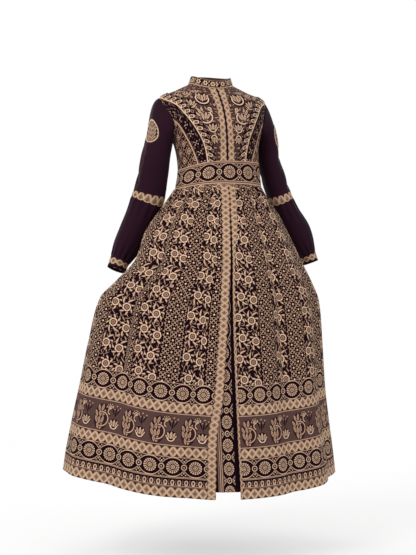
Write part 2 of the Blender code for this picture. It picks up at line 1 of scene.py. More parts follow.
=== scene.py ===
"""The looks of the kaftan: its cloth as thin sheets on the solids' form, its patterns, light and camera.

The front faces -Y, +X is to the right as seen from the front, and the origin is between the shoulders.
Turn is an angle in degrees round the body: 0 at the centre front, 90 at +X and 180 at the centre back.
Every sheet has a map of its flat cloth in metres, and the patterns are drawn on that map in millimetres.
"""

import math
from collections import namedtuple

import bmesh
import bpy
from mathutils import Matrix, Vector


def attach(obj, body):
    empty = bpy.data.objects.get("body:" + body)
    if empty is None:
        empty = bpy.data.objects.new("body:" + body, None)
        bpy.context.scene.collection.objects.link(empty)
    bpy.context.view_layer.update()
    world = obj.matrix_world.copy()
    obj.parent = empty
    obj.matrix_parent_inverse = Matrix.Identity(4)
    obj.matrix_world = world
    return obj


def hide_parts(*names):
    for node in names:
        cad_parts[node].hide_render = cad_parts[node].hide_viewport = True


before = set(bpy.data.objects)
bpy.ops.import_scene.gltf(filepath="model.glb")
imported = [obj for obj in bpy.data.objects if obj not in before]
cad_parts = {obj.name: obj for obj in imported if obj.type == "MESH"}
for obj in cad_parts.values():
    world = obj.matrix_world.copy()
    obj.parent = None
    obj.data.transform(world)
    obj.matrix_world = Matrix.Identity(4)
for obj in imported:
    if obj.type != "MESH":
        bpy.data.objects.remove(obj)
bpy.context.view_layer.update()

# Camera, in metres and degrees: a level view a little to the viewer's left of the centre front
CAMERA_TURN = -16
CAMERA_DISTANCE = 4.2
CAMERA_HEIGHT = -0.63
CAMERA_ASIDE = -0.0149
CAMERA_LENS = 55
SENSOR_HEIGHT = 24

# Floor and light
FLOOR_Z = -1.52
FLOOR_FADE_FROM, FLOOR_FADE_TO = 1.3, 3.2
FLOOR_WHITE = 0.93
FLOOR_STRENGTH = 0.45
SKY_SHOWN, SKY_LIGHT = 1.0, 0.62
Lamp = namedtuple("Lamp", "name turn reach height size power")
LAMPS = [
    Lamp("key", -55, 3.4, 1.6, 1.8, 70),
    Lamp("fill", 40, 3.8, 0.4, 2.2, 26),
    Lamp("back_left", -150, 3.2, 1.2, 1.6, 30),
    Lamp("back_right", 140, 3.2, 1.0, 1.6, 30),
]
LAMP_AIM = (0.0, 0.0, -0.65)

# Cloth, in metres
WALL = 0.0015
BRAID_WALL = 0.0012
SEAM = 0.0004
OVERLAY = WALL + 0.0008
TRIM_OVERLAY = WALL + 0.0020
BELT_WALL = 0.0022
SHARP_ANGLE = 60
CUT_MARGIN = 1.001

# Driving sizes of the garment, in metres
COLLAR_HEIGHT = 0.026
COLLAR_LEAN = 0.115
COLLAR_SPLIT = 0.4
PIPING_WIDTH = 0.003
PLACKET_BRAID_WIDTH = 0.023
TRIM_WIDTH = 0.028
SKIRT_BRAID_WIDTH = 0.027
RIGHT_BRAID_FULL = 0.020
RIGHT_BRAID_SHOWN = 0.007
RIGHT_BRAID_TURNS_AT = 0.74
RIGHT_BRAID_TURNS_OVER = 0.14
UNDERLAY_DEPTH = 0.006
UNDERLAY_LEFT = 0.100
UNDERLAY_RIGHT = 0.030
UNDERLAY_ABOVE_HEM = 0.022
UNDERLAY_SINKS_OVER = 0.30
UNDERLAY_AT_WAIST = 0.35
UNDERLAY_WIDENS_OVER = 0.5
PATCH_HEIGHT = 0.082
PATCH_WIDTH = 0.058
PATCH_REACH = 1.8
PATCH_TURN = 35
BELOW_NECK = 0.15
BRAID_BELOW_SEAM = 0.004
BELOW_SHOULDER_TIP = 0.12

# How much wider the cloth was cut than it shows
SKIRT_FULLNESS = 1.15
SLEEVE_FULLNESS = 1.2
PIPING_FULLNESS = 1.9

# Gathers of the skirt at the waistband
GATHERS = 30
GATHER_DEPTH = 0.0035
GATHER_FALL = 0.24
FLAT_FRONT = 13
GATHERS_FULL_FROM = 24

# Gathers of the lower sleeves
SLEEVE_GATHERS = 12
SLEEVE_GATHER_DEPTH = 0.0022

# Bodice and waistband: one closed ring round the body for each level, from the skirt's seam up to the neck
Ring = namedtuple("Ring", "level z_front z_left z_right z_back x y half_width front back squareness")
BODICE = [
    Ring(0, -0.3275, -0.342, -0.331, -0.3275, 0.018, -0.005, 0.1425, 0.108, 0.100, 2.1),
    Ring(1, -0.253, -0.278, -0.252, -0.256, 0.018, -0.005, 0.134, 0.104, 0.094, 2.1),
    Ring(2, -0.196, -0.206, -0.196, -0.197, 0.012, -0.005, 0.138, 0.120, 0.097, 2.2),
    Ring(3, -0.140, -0.147, -0.145, -0.140, 0.006, 0.000, 0.155, 0.132, 0.100, 2.3),
    Ring(4, -0.090, -0.096, -0.096, -0.088, 0.001, 0.000, 0.171, 0.120, 0.102, 2.3),
    Ring(5, -0.046, -0.047, -0.047, -0.034, -0.002, 0.005, 0.176, 0.092, 0.086, 2.1),
    Ring(6, -0.026, -0.019, -0.019, -0.004, -0.005, 0.005, 0.120, 0.077, 0.070, 2.0),
    Ring(7, -0.017, 0.003, 0.003, 0.011, -0.006, 0.003, 0.0735, 0.064, 0.061, 2.0),
]
BELT_BOTTOM, BELT_TOP, SHOULDER_TIP, NECK = 0, 1, 5, 7

# Skirt: one ring for each height, x is the opening's right edge and y the line where the ring is widest
Hoop = namedtuple("Hoop", "z lift_left lift_right x y left right front back back_squareness gap")
SKIRT = [
    Hoop(-0.3287, -0.0145, -0.0035, 0.018, -0.005, 0.1445, 0.1405, 0.108, 0.100, 2.0, 0.0004),
    Hoop(-0.370, -0.008, -0.002, 0.016, -0.010, 0.170, 0.165, 0.130, 0.122, 1.6, 0.0008),
    Hoop(-0.420, -0.002, 0.000, 0.011, -0.022, 0.202, 0.202, 0.142, 0.152, 1.4, 0.002),
    Hoop(-0.485, 0.003, 0.002, 0.006, -0.045, 0.243, 0.233, 0.148, 0.200, 1.3, 0.004),
    Hoop(-0.586, 0.009, 0.005, 0.000, -0.060, 0.276, 0.282, 0.165, 0.250, 1.3, 0.007),
    Hoop(-0.655, 0.015, 0.008, -0.005, -0.060, 0.330, 0.320, 0.180, 0.275, 1.35, 0.010),
    Hoop(-0.715, 0.020, 0.010, -0.007, -0.055, 0.380, 0.346, 0.195, 0.285, 1.4, 0.013),
    Hoop(-0.864, 0.032, 0.016, -0.011, -0.035, 0.409, 0.367, 0.240, 0.300, 1.6, 0.025),
    Hoop(-1.010, 0.042, 0.021, -0.012, -0.025, 0.434, 0.378, 0.275, 0.310, 1.7, 0.040),
    Hoop(-1.114, 0.050, 0.025, -0.011, -0.020, 0.455, 0.389, 0.292, 0.318, 1.8, 0.060),
    Hoop(-1.230, 0.060, 0.030, -0.009, -0.020, 0.478, 0.401, 0.308, 0.328, 1.9, 0.068),
    Hoop(-1.307, 0.066, 0.034, -0.008, -0.020, 0.490, 0.408, 0.316, 0.336, 1.9, 0.072),
]
WAIST_SEAM = SKIRT[0].z
HEM = SKIRT[-1].z

# Large folds of the skirt: troughs are negative, and depth grows from hip to knee to hem
Fold = namedtuple("Fold", "turn spread hip knee hem")
FOLDS = [
    Fold(-18, 7, -0.004, -0.012, -0.010),
    Fold(-34, 9, 0.003, 0.009, 0.008),
    Fold(-54, 8, -0.006, -0.016, -0.014),
    Fold(-73, 9, 0.003, 0.009, 0.010),
    Fold(28, 7, -0.008, -0.015, -0.012),
    Fold(46, 9, 0.003, 0.010, 0.010),
    Fold(63, 7, -0.005, -0.011, -0.011),
    Fold(80, 7, 0.002, 0.006, 0.008),
    Fold(106, 8, -0.003, -0.014, -0.018),
    Fold(122, 9, 0.003, 0.013, 0.017),
    Fold(139, 8, -0.004, -0.017, -0.021),
    Fold(156, 9, 0.004, 0.015, 0.019),
    Fold(172, 7, -0.004, -0.014, -0.019),
    Fold(-108, 9, -0.003, -0.015, -0.019),
    Fold(-126, 8, 0.003, 0.013, 0.018),
    Fold(-142, 8, -0.004, -0.016, -0.021),
    Fold(-160, 9, 0.004, 0.014, 0.018),
]
HIP_Z, KNEE_Z = -0.45, -0.85
FOLD_REACH = 1.8
FOLD_STEEPNESS = 1.5

# Cloth hidden in the deepest folds, in metres
Tuck = namedtuple("Tuck", "turn spread cloth")
TUCKS = [Tuck(-18, 1.6, 0.008), Tuck(-54, 1.8, 0.035), Tuck(28, 1.6, 0.040)]

# Armhole: an upright oval in turn and level, from the shoulder tip round the front to the underarm
ARMHOLE_TURN = 22
ARMHOLE_NARROWING = 0.4
ARMHOLE_BOTTOM = 2.72

# Seams of the front, each point given by its distance from the centre line and its height
Stop = namedtuple("Stop", "aside z")
TRIM_LINE = [
    Stop(0.065, -0.2475), Stop(0.073, -0.205), Stop(0.094, -0.155), Stop(0.124, -0.104), Stop(0.150, -0.070),
]
PIPED_LINE = [Stop(0.093, -0.2475), Stop(0.118, -0.188), Stop(0.136, -0.148)]
PIPED_LINE_END = 110
BACK_LINE = [
    Stop(0.052, -0.2475), Stop(0.062, -0.195), Stop(0.084, -0.145), Stop(0.118, -0.095), Stop(0.146, -0.060),
]

# Sleeves: across is the half width seen from the front, deep the half width front to back
Cuff = namedtuple("Cuff", "reach x y z across deep")
SLEEVES = {
    "left": [
        Cuff(2, -0.179, 0.004, -0.180, 0.043, 0.053),
        Cuff(3, -0.190, 0.008, -0.230, 0.046, 0.048),
        Cuff(4, -0.198, 0.014, -0.290, 0.049, 0.042),
        Cuff(5, -0.208, 0.024, -0.354, 0.052, 0.037),
        Cuff(6, -0.215, 0.032, -0.380, 0.052, 0.037),
        Cuff(7, -0.2316, 0.042, -0.425, 0.049, 0.041),
        Cuff(8, -0.2526, 0.048, -0.478, 0.049, 0.044),
        Cuff(9, -0.280, 0.050, -0.532, 0.043, 0.040),
        Cuff(10, -0.303, 0.046, -0.576, 0.031, 0.029),
        Cuff(11, -0.315, 0.042, -0.604, 0.029, 0.028),
    ],
    "right": [
        Cuff(2, 0.1895, 0.010, -0.180, 0.034, 0.057),
        Cuff(3, 0.197, 0.014, -0.230, 0.036, 0.054),
        Cuff(4, 0.216, 0.017, -0.290, 0.038, 0.052),
        Cuff(5, 0.237, 0.020, -0.349, 0.038, 0.050),
        Cuff(6, 0.2475, 0.024, -0.372, 0.038, 0.050),
        Cuff(7, 0.271, 0.030, -0.418, 0.043, 0.049),
        Cuff(8, 0.303, 0.036, -0.470, 0.049, 0.046),
        Cuff(9, 0.327, 0.038, -0.515, 0.042, 0.041),
        Cuff(10, 0.347, 0.034, -0.553, 0.026, 0.031),
        Cuff(11, 0.357, 0.032, -0.580, 0.024, 0.030),
    ],
}
CAP_END, ELBOW_TOP, ELBOW_BOTTOM, CUFF_TOP, CUFF_BOTTOM = 2, 5, 6, 10, 11

# Sleeve caps: how far they swell out of the armhole and how steeply they leave it
Cap = namedtuple("Cap", "puff drop")
CAPS = {-1: Cap(0.7, 0.25), 1: Cap(0.35, 0.60)}

# Drag creases of the upper sleeves, running down across the arm
Crease = namedtuple("Crease", "reach turn slope spread depth")
SLEEVE_CREASES = [
    Crease(3.2, 40, 0.010, 0.28, -0.0035),
    Crease(4.0, 70, 0.010, 0.26, -0.0040),
    Crease(4.5, 20, 0.012, 0.24, -0.0040),
    Crease(3.6, 230, -0.010, 0.28, -0.0035),
    Crease(4.4, 260, -0.010, 0.26, -0.0035),
]
CREASE_LENGTH = 70

# At the underarm a sleeve leaves the armhole less sideways and more downwards, and stands further off
UNDERARM_SIDEWAYS, UNDERARM_DROP, UNDERARM_STAND_OFF = 0.65, 0.75, 1.4

# Steps for directions on a surface, in degrees and levels, and rounds of a search for a place on it
TURN_STEP, LEVEL_STEP = 0.5, 0.01
REACH_STEP = 0.05
SEARCH_ROUNDS = 12
SEARCH_LEVEL = 1.1

SIDES = {"left": -1, "right": 1}
Place = namedtuple("Place", "turn level")


def ease(value):
    value = min(max(value, 0.0), 1.0)
    return value * value * (3 - 2 * value)


def turn_from(start, turn):
    """The way round from one turn to another, up to 180 either way."""
    return (turn - start + 180) % 360 - 180


def curved(start, end, leave, arrive, t):
    """A smooth way from a start to an end, with the direction in which it leaves and arrives."""
    ahead = end - start
    return (start + leave * t + (3 * ahead - 2 * leave - arrive) * t**2
            + (leave + arrive - 2 * ahead) * t**3)


def smooth_row(rows, keys, where):
    """Reads a table on one smooth curve through its rows, which runs straight on past the ends."""
    last = len(rows) - 1
    falling = keys[-1] < keys[0]
    i = 0
    while i < last - 1 and (where < keys[i + 1] if falling else where > keys[i + 1]):
        i += 1
    span = keys[i + 1] - keys[i]
    t = (where - keys[i]) / span

    def tilt(k, column):
        low, high = max(k - 1, 0), min(k + 1, last)
        return (rows[high][column] - rows[low][column]) / (keys[high] - keys[low]) * span

    values = []
    for column in range(len(rows[0])):
        start, end = rows[i][column], rows[i + 1][column]
        leave, arrive = tilt(i, column), tilt(i + 1, column)
        if t < 0:
            values.append(start + leave * t)
        elif t > 1:
            values.append(end + arrive * (t - 1))
        else:
            values.append(curved(start, end, leave, arrive, t))
    return type(rows[0])(*values)


def part_of_circle(value, squareness):
    return math.copysign(abs(value) ** (2 / squareness), value)


def torso(turn, level):
    """The bodice and waistband: a point for each turn and level."""
    ring = smooth_row(BODICE, [row.level for row in BODICE], level)
    sine, cosine = math.sin(math.radians(turn)), math.cos(math.radians(turn))
    depth, height = (ring.front, ring.z_front) if cosine > 0 else (ring.back, ring.z_back)
    side_height = ring.z_right if sine > 0 else ring.z_left
    return Vector((
        ring.x + ring.half_width * part_of_circle(sine, ring.squareness),
        ring.y - depth * part_of_circle(cosine, ring.squareness),
        side_height + (height - side_height) * cosine * cosine,
    ))


def fold_depth(turn, z):
    """How far the large folds push the skirt in or out."""
    total = 0.0
    for fold in FOLDS:
        apart = abs(turn_from(fold.turn, turn)) / fold.spread
        if apart < FOLD_REACH:
            bell = math.exp(-apart * apart * FOLD_STEEPNESS)
            if z > KNEE_Z:
                depth = fold.hip + (fold.knee - fold.hip) * ease((HIP_Z - z) / (HIP_Z - KNEE_Z))
            else:
                depth = fold.knee + (fold.hem - fold.knee) * ease((KNEE_Z - z) / (KNEE_Z - HEM))
            total += depth * bell * ease((WAIST_SEAM - z) / (WAIST_SEAM - HIP_Z))
    return total


def gather_depth(turn, z):
    """The small gathers under the waistband, none on the flat front edges."""
    apart = abs(turn_from(0, turn))
    fullness = ease((apart - FLAT_FRONT) / (GATHERS_FULL_FROM - FLAT_FRONT))
    fade = max(0.0, 1 - (WAIST_SEAM - z) / GATHER_FALL)
    return GATHER_DEPTH * fullness * fade * fade * math.cos(math.radians(GATHERS * turn))


def skirt(turn, z):
    """The skirt: a point for each turn and height."""
    hoop = smooth_row(SKIRT, [row.z for row in SKIRT], z)
    sine, cosine = math.sin(math.radians(turn)), math.cos(math.radians(turn))
    half, lift = (hoop.right, hoop.lift_right) if sine > 0 else (hoop.left, hoop.lift_left)
    depth, squareness = (hoop.front, 2.0) if cosine > 0 else (hoop.back, hoop.back_squareness)
    out = Vector((
        half * part_of_circle(sine, squareness),
        -depth * part_of_circle(cosine, squareness),
        0.0,
    ))
    out += out.normalized() * (fold_depth(turn, z) + gather_depth(turn, z))
    return out + Vector((hoop.x, hoop.y, z + lift * sine * sine))


def neck_collar(turn, height):
    """The stand collar: height runs from 0 at its seam to 1 at its top."""
    base = torso(turn, NECK)
    middle = Vector((BODICE[-1].x, BODICE[-1].y, 0))
    lean = 1 - COLLAR_LEAN * height
    rise = WALL + SEAM + COLLAR_HEIGHT * height
    flat = Vector((base.x, base.y, 0)) - middle
    return middle + flat * lean + Vector((0, 0, base.z + rise))


def armhole(angle, side):
    """Turn and level on the armhole: 0 is the shoulder tip, 90 the front and 180 the underarm."""
    middle = (SHOULDER_TIP + ARMHOLE_BOTTOM) / 2
    half = (SHOULDER_TIP - ARMHOLE_BOTTOM) / 2
    bend = math.radians(angle)
    reach_forward = ARMHOLE_TURN * math.sin(bend) * (1 - ARMHOLE_NARROWING * math.cos(bend))
    return side * (90 - reach_forward), middle + half * math.cos(bend)


def crease_depth(turn, reach):
    """The soft diagonal creases of an upper sleeve."""
    total = 0.0
    for crease in SLEEVE_CREASES:
        apart = turn_from(crease.turn, turn)
        if abs(apart) < CREASE_LENGTH:
            offset = (reach - crease.reach - crease.slope * apart) / crease.spread
            fade = math.cos(math.radians(90 * apart / CREASE_LENGTH))
            total += crease.depth * math.exp(-offset * offset) * fade
    return total


def sleeve_oval(rows, side, turn, reach):
    """A place on the sleeve's oval below its cap, and the arm's direction there."""
    keys = [row.reach for row in rows]
    here = smooth_row(rows, keys, reach)
    ahead = smooth_row(rows, keys, reach + REACH_STEP)
    behind = smooth_row(rows, keys, reach - REACH_STEP)
    along = Vector((ahead.x - behind.x, ahead.y - behind.y, ahead.z - behind.z)).normalized()
    front = Vector((0, -1, 0))
    front = (front - along * front.dot(along)).normalized()
    outer = front.cross(along) * side
    bend = math.radians(turn)
    swell = 0.0
    if ELBOW_BOTTOM < reach < CUFF_TOP:
        middle = (ELBOW_BOTTOM + CUFF_TOP) / 2
        near_end = abs(reach - middle) / (CUFF_TOP - middle)
        swell = SLEEVE_GATHER_DEPTH * near_end**1.5 * math.cos(SLEEVE_GATHERS * bend)
        swell *= ease((reach - ELBOW_BOTTOM) * 4) * ease((CUFF_TOP - reach) * 4)
    elif reach < ELBOW_TOP:
        swell = crease_depth(turn, reach) * ease((ELBOW_TOP - reach) * 3) * ease((reach - CAP_END) * 2)
    place = Vector((here.x, here.y, here.z))
    place += outer * (here.across + swell) * math.cos(bend) + front * (here.deep + swell) * math.sin(bend)
    return place, along


def sleeve_point(rows, side, turn, reach):
    """A sleeve: turn is 0 on its outer line, 90 at its front and 180 on its inner line."""
    if reach >= CAP_END:
        return sleeve_oval(rows, side, turn, reach)[0]
    t = reach / CAP_END
    seam = armhole_edge(turn, side)
    end, along = sleeve_oval(rows, side, turn, CAP_END)
    distance = (end - seam).length
    under = (1 - math.cos(math.radians(turn))) / 2
    leave = Vector((side * (1 - UNDERARM_SIDEWAYS * under), 0, -CAPS[side].drop - UNDERARM_DROP * under))
    leave = leave.normalized() * (distance * CAPS[side].puff)
    return curved(seam, end, leave, along * distance, t)


def armhole_edge(angle, side):
    """The sleeve's seam, laid just outside the bodice's edge."""
    turn, level = armhole(angle, side)
    along_turn, along_level = slopes(torso, turn, level)
    under = (1 - math.cos(math.radians(angle))) / 2
    out = along_turn.cross(along_level).normalized()
    return torso(turn, level) + out * (WALL + SEAM + UNDERARM_STAND_OFF * WALL * under)


def sleeve_of(side_name):
    return lambda turn, reach: sleeve_point(SLEEVES[side_name], SIDES[side_name], turn, reach)


def slopes(ground, a, b):
    """The two directions in which the surface runs at a place, for one unit of each value."""
    along_a = (ground(a + TURN_STEP, b) - ground(a - TURN_STEP, b)) / (2 * TURN_STEP)
    along_b = (ground(a, b + LEVEL_STEP) - ground(a, b - LEVEL_STEP)) / (2 * LEVEL_STEP)
    return along_a, along_b


def find(ground, aside, z, side, turn, level):
    """Turn and level of the place that is aside from the centre line at a height, from a first guess."""
    for _ in range(SEARCH_ROUNDS):
        here = ground(turn, level)
        centre = ground(0, level).x
        miss_x, miss_z = centre + side * aside - here.x, z - here.z
        along_turn, along_level = slopes(ground, turn, level)
        scale = along_turn.x * along_level.z - along_turn.z * along_level.x
        turn += (miss_x * along_level.z - miss_z * along_level.x) / scale
        level += (miss_z * along_turn.x - miss_x * along_turn.z) / scale
    return turn, level


def line_through(places):
    """A smooth line through (turn, level) places, run from 0 to 1."""
    rows = [Place(*place) for place in places]
    keys = [i / (len(rows) - 1) for i in range(len(rows))]

    def line(t):
        return tuple(smooth_row(rows, keys, t))

    return line


def straight(start, end):
    return lambda t: (start[0] + (end[0] - start[0]) * t, start[1] + (end[1] - start[1]) * t)


def chained(first, second, share):
    """Two lines run one after the other, the first over its share."""
    return lambda t: first(t / share) if t <= share else second((t - share) / (1 - share))


def patch(bottom, top, left, right):
    """A four-sided piece of pattern between four lines: bottom and top run left to right."""

    def plan(u, v):
        place = []
        for axis in (0, 1):
            corners = (
                (1 - u) * (1 - v) * bottom(0)[axis]
                + u * (1 - v) * bottom(1)[axis]
                + (1 - u) * v * top(0)[axis]
                + u * v * top(1)[axis]
            )
            sides = (1 - v) * bottom(u)[axis] + v * top(u)[axis]
            ends = (1 - u) * left(v)[axis] + u * right(v)[axis]
            place.append(sides + ends - corners)
        return tuple(place)

    return plan


def moved_aside(ground, line, distance):
    """A line beside another, at a distance measured square to it on the cloth. Positive is to the left."""

    def beside(t):
        a, b = line(t)
        before, after = line(max(t - 0.01, 0)), line(min(t + 0.01, 1))
        way = (ground(*after) - ground(*before)).normalized()
        along_turn, along_level = slopes(ground, a, b)
        aim = along_turn.cross(along_level).cross(way).normalized() * distance
        tt, tl, ll = along_turn.dot(along_turn), along_turn.dot(along_level), along_level.dot(along_level)
        at, al = aim.dot(along_turn), aim.dot(along_level)
        scale = tt * ll - tl * tl
        return a + (at * ll - al * tl) / scale, b + (al * tt - at * tl) / scale

    return beside


def moved_round(ground, line, distance):
    """A line beside another at the same levels, at a distance round the body. Positive is towards +X."""

    def beside(t):
        turn, level = line(t)
        width = distance(t) if callable(distance) else distance
        return turn + width / slopes(ground, turn, level)[0].length, level

    return beside


def between(first, second):
    """A strip between two lines that run the same way."""

    def plan(u, v):
        start, end = first(v), second(v)
        return start[0] + (end[0] - start[0]) * u, start[1] + (end[1] - start[1]) * u

    return plan


def seam_line(stops, side, end, first_turn):
    """A seam of the bodice from the waist up to a place on the armhole."""
    places = []
    guess = (side * first_turn, SEARCH_LEVEL)
    for stop in stops:
        guess = find(torso, stop.aside, stop.z, side, *guess)
        places.append(guess)
    places[0] = (places[0][0], BELT_TOP)
    places.append(armhole(end, side))
    return line_through(places)


def trim_edges(side, trim_line):
    """The inner and outer edge of the curved trim, which ends on the shoulder seam."""
    steps = (0.2, 0.4, 0.6, 0.8)
    aside = moved_aside(torso, trim_line, side * TRIM_WIDTH)
    start = moved_round(torso, trim_line, -side * TRIM_WIDTH)(0)
    ridge = (torso(side * 90, SHOULDER_TIP + 1) - torso(side * 90, SHOULDER_TIP)).length
    tip = SHOULDER_TIP + BELOW_SHOULDER_TIP
    inner = line_through([start] + [aside(t) for t in steps] + [(side * 90, tip + TRIM_WIDTH / ridge)])
    outer = line_through([trim_line(0)] + [trim_line(t) for t in steps] + [(side * 90, tip)])
    return inner, outer


def skirt_height(v):
    return HEM + (WAIST_SEAM - HEM) * v


def left_edge(v):
    """The left front's edge, which stands away from the right one further down."""
    z = skirt_height(v)
    gap = smooth_row(SKIRT, [row.z for row in SKIRT], z).gap
    along_turn = slopes(skirt, 0, z)[0].length
    return -gap / along_turn, z


def right_edge(v):
    return 0.0, skirt_height(v)


def below_seam(edge):
    """An edge line whose top end stays clear of the waistband."""

    def line(v):
        turn, z = edge(v)
        return turn, min(z, WAIST_SEAM - BRAID_BELOW_SEAM)

    return line


def right_braid_width(v):
    """The right braid is turned under below the hip, so that only its edge shows."""
    full = ease((v - RIGHT_BRAID_TURNS_AT) / RIGHT_BRAID_TURNS_OVER)
    return RIGHT_BRAID_SHOWN + (RIGHT_BRAID_FULL - RIGHT_BRAID_SHOWN) * full


# Numbers that change over the cloth, worked out by Math nodes

class Number:
    """One number of a drawing, which can be added and multiplied like a plain one."""

    def __init__(self, socket):
        self.socket = socket

    def __add__(self, other):
        return worked("ADD", self, other)

    __radd__ = __add__

    def __sub__(self, other):
        return worked("SUBTRACT", self, other)

    def __rsub__(self, other):
        return worked("SUBTRACT", other, self)

    def __mul__(self, other):
        return worked("MULTIPLY", self, other)

    __rmul__ = __mul__

    def __truediv__(self, other):
        return worked("DIVIDE", self, other)

    def __neg__(self):
        return worked("MULTIPLY", self, -1.0)

    def __abs__(self):
        return worked("ABSOLUTE", self)


def tree_of(terms):
    return next(term for term in terms if isinstance(term, Number)).socket.id_data


def feed(slot, term):
    """Gives an input socket a changing number or a plain one."""
    if isinstance(term, Number):
        term.socket.id_data.links.new(term.socket, slot)
    else:
        slot.default_value = term


def worked(operation, *terms, clamp=False):
    node = tree_of(terms).nodes.new("ShaderNodeMath")
    node.operation = operation
    node.use_clamp = clamp
    for slot, term in zip(node.inputs, terms):
        feed(slot, term)
    return Number(node.outputs[0])


def least(first, second):
    return worked("MINIMUM", first, second)


def most(first, second):
    return worked("MAXIMUM", first, second)


def cosine(value):
    return worked("COSINE", value)


def repeat(value, pitch):
    """The same value again and again, counted from the middle of each repeat."""
    return worked("WRAP", value, pitch / 2, -pitch / 2)


def away(x, y):
    """The distance from the origin."""
    return worked("SQRT", x * x + y * y)


def bearing(x, y):
    return worked("ARCTAN2", y, x)


def mask(inside, soft=0.5):
    """1 where the value is above 0, with a soft edge."""
    return worked("MULTIPLY_ADD", inside, 1 / soft, 0.5, clamp=True)


def line(value, width):
    """Above 0 within half the width of the value's zero."""
    return width / 2 - abs(value)


def paint(under, inside, tone, soft=0.5):
    """Lays a tone over another where the value is above 0."""
    cover = mask(inside, soft)
    node = cover.socket.id_data.nodes.new("ShaderNodeMix")
    feed(node.inputs[0], cover)
    feed(node.inputs[2], under)
    feed(node.inputs[3], tone)
    return Number(node.outputs[0])


def layered(tone, *layers):
    """Lays tones one over another, each where its own value is above 0."""
    for inside, over in layers:
        tone = paint(tone, inside, over)
    return tone


def turned(x, y, at_x, at_y, angle):
    """The place as seen from a point, with the first axis turned by an angle in degrees."""
    c, s = math.cos(math.radians(angle)), math.sin(math.radians(angle))
    right, up = x - at_x, y - at_y
    return worked("MULTIPLY_ADD", right, c, up * s), worked("MULTIPLY_ADD", up, c, right * -s)


def leaf(x, y, at_x, at_y, angle, length, width):
    """A pointed leaf round its middle, running at an angle. The value is above 0 inside it."""
    along, across = turned(x, y, at_x, at_y, angle)
    share = along * (2 / length)
    return worked("MULTIPLY_ADD", share * share, -width / 2, width / 2) - abs(across)


def sprigs(x, y, wide, tall, angle, length, width, aside=0):
    """One leaf in each repeat of a width and a height. The value is above 0 inside the leaves."""
    return leaf(repeat(x, wide), repeat(y, tall), aside, 0, angle, length, width)


def diagonals(x, y, cell):
    """How far a place is from the middle of its diamond cell, along both slanting ways."""
    first, second = (x + y) / math.sqrt(2), (x - y) / math.sqrt(2)
    return abs(repeat(first, cell)), abs(repeat(second, cell))


def dot(x, y, at_x, at_y, radius):
    return radius - away(x - at_x, y - at_y)


def drawing(name, *inputs, outputs=("Tone",)):
    """Makes a node group from the drawing under it, with named numbers going in and coming out."""

    def built(draw):
        tree = bpy.data.node_groups.new(name, "ShaderNodeTree")
        for label in inputs:
            tree.interface.new_socket(name=label, in_out="INPUT", socket_type="NodeSocketFloat")
        for label in outputs:
            tree.interface.new_socket(name=label, in_out="OUTPUT", socket_type="NodeSocketFloat")
        start = tree.nodes.new("NodeGroupInput")
        end = tree.nodes.new("NodeGroupOutput")
        results = draw(*[Number(start.outputs[label]) for label in inputs])
        for slot, value in zip(end.inputs, [results] if len(outputs) == 1 else results):
            feed(slot, value)
        return tree

    return built


def placed(group, *values):
    """Uses a drawing in another one and gives the numbers that come out."""
    node = tree_of(values).nodes.new("ShaderNodeGroup")
    node.node_tree = group
    for slot, value in zip(node.inputs, values):
        feed(slot, value)
    results = [Number(socket) for socket in node.outputs]
    return results if len(results) > 1 else results[0]


def noise(x, y, size, detail=2.0):
    """Soft blots of about a size in millimetres, from 0 to 1."""
    tree = x.socket.id_data
    join = tree.nodes.new("ShaderNodeCombineXYZ")
    feed(join.inputs[0], x)
    feed(join.inputs[1], y)
    node = tree.nodes.new("ShaderNodeTexNoise")
    node.noise_dimensions = "2D"
    tree.links.new(join.outputs[0], node.inputs["Vector"])
    node.inputs["Scale"].default_value = 1 / size
    node.inputs["Detail"].default_value = detail
    return Number(node.outputs[0])


def strewn(x, y, size, sway):
    """The place pushed about by soft blots, so that rows on it look scattered."""
    bent = noise(x, y, size, 1.0) * sway
    return x + bent, y - bent


def read_map(tree, name):
    """The two numbers of one of the sheets' maps."""
    place = tree.nodes.new("ShaderNodeUVMap")
    place.uv_map = name
    split = tree.nodes.new("ShaderNodeSeparateXYZ")
    tree.links.new(place.outputs["UV"], split.inputs[0])
    return Number(split.outputs[0]), Number(split.outputs[1])


# Tones of the woven patterns, from the darkest thread to the lightest
TONES = (0.0, 0.18, 0.38, 0.6, 0.82, 1.0)
DARK, DUSK, TAUPE, TAN, BEIGE, BRIGHT = TONES

# Sizes of the patterns. All the drawings are in millimetres
BRAID_PITCH = 20.0
BRAID_HALF = 12.0
STITCH_FROM_EDGE = 2.2
MEDALLION_PITCH = 68.0
STRIPE_REPEAT = 160.0
FLORAL_HALF = 45.0
FLOWER_ROW = 65.0
LATTICE_CELL = 25.8
SIDE_CELL = 30
BIRD_REPEAT = 97.0
HEM_BRAID_PITCH = 23.5
DROP_PITCH = 20.5
TRIM_PITCH = 23
COLLAR_PITCH = 25
FAR_OFF = 999.0


@drawing("weave", "Across", "Up", "Thread", outputs=("Height", "Shade"))
def weave(x, y, thread):
    """Threads over and under one another, and the cloth's soft unevenness. Both values run from 0 to 1."""
    over = cosine(x / thread * math.pi)
    under = cosine(y / thread * math.pi)
    height = worked("MULTIPLY_ADD", over * under, 0.5, 0.5)
    shade = noise(x, y, 55.0, 4.0) * 0.6 + noise(x, y * 0.12, 2.2, 1.0) * 0.4
    return height, shade


@drawing("stitches", "From seam", "Along", outputs=("Thread",))
def stitches(x, y):
    """A row of small stitches at a distance from a seam, above 0 on the thread."""
    return least(line(x, 0.7), 1.1 - abs(repeat(y, 3.2)))


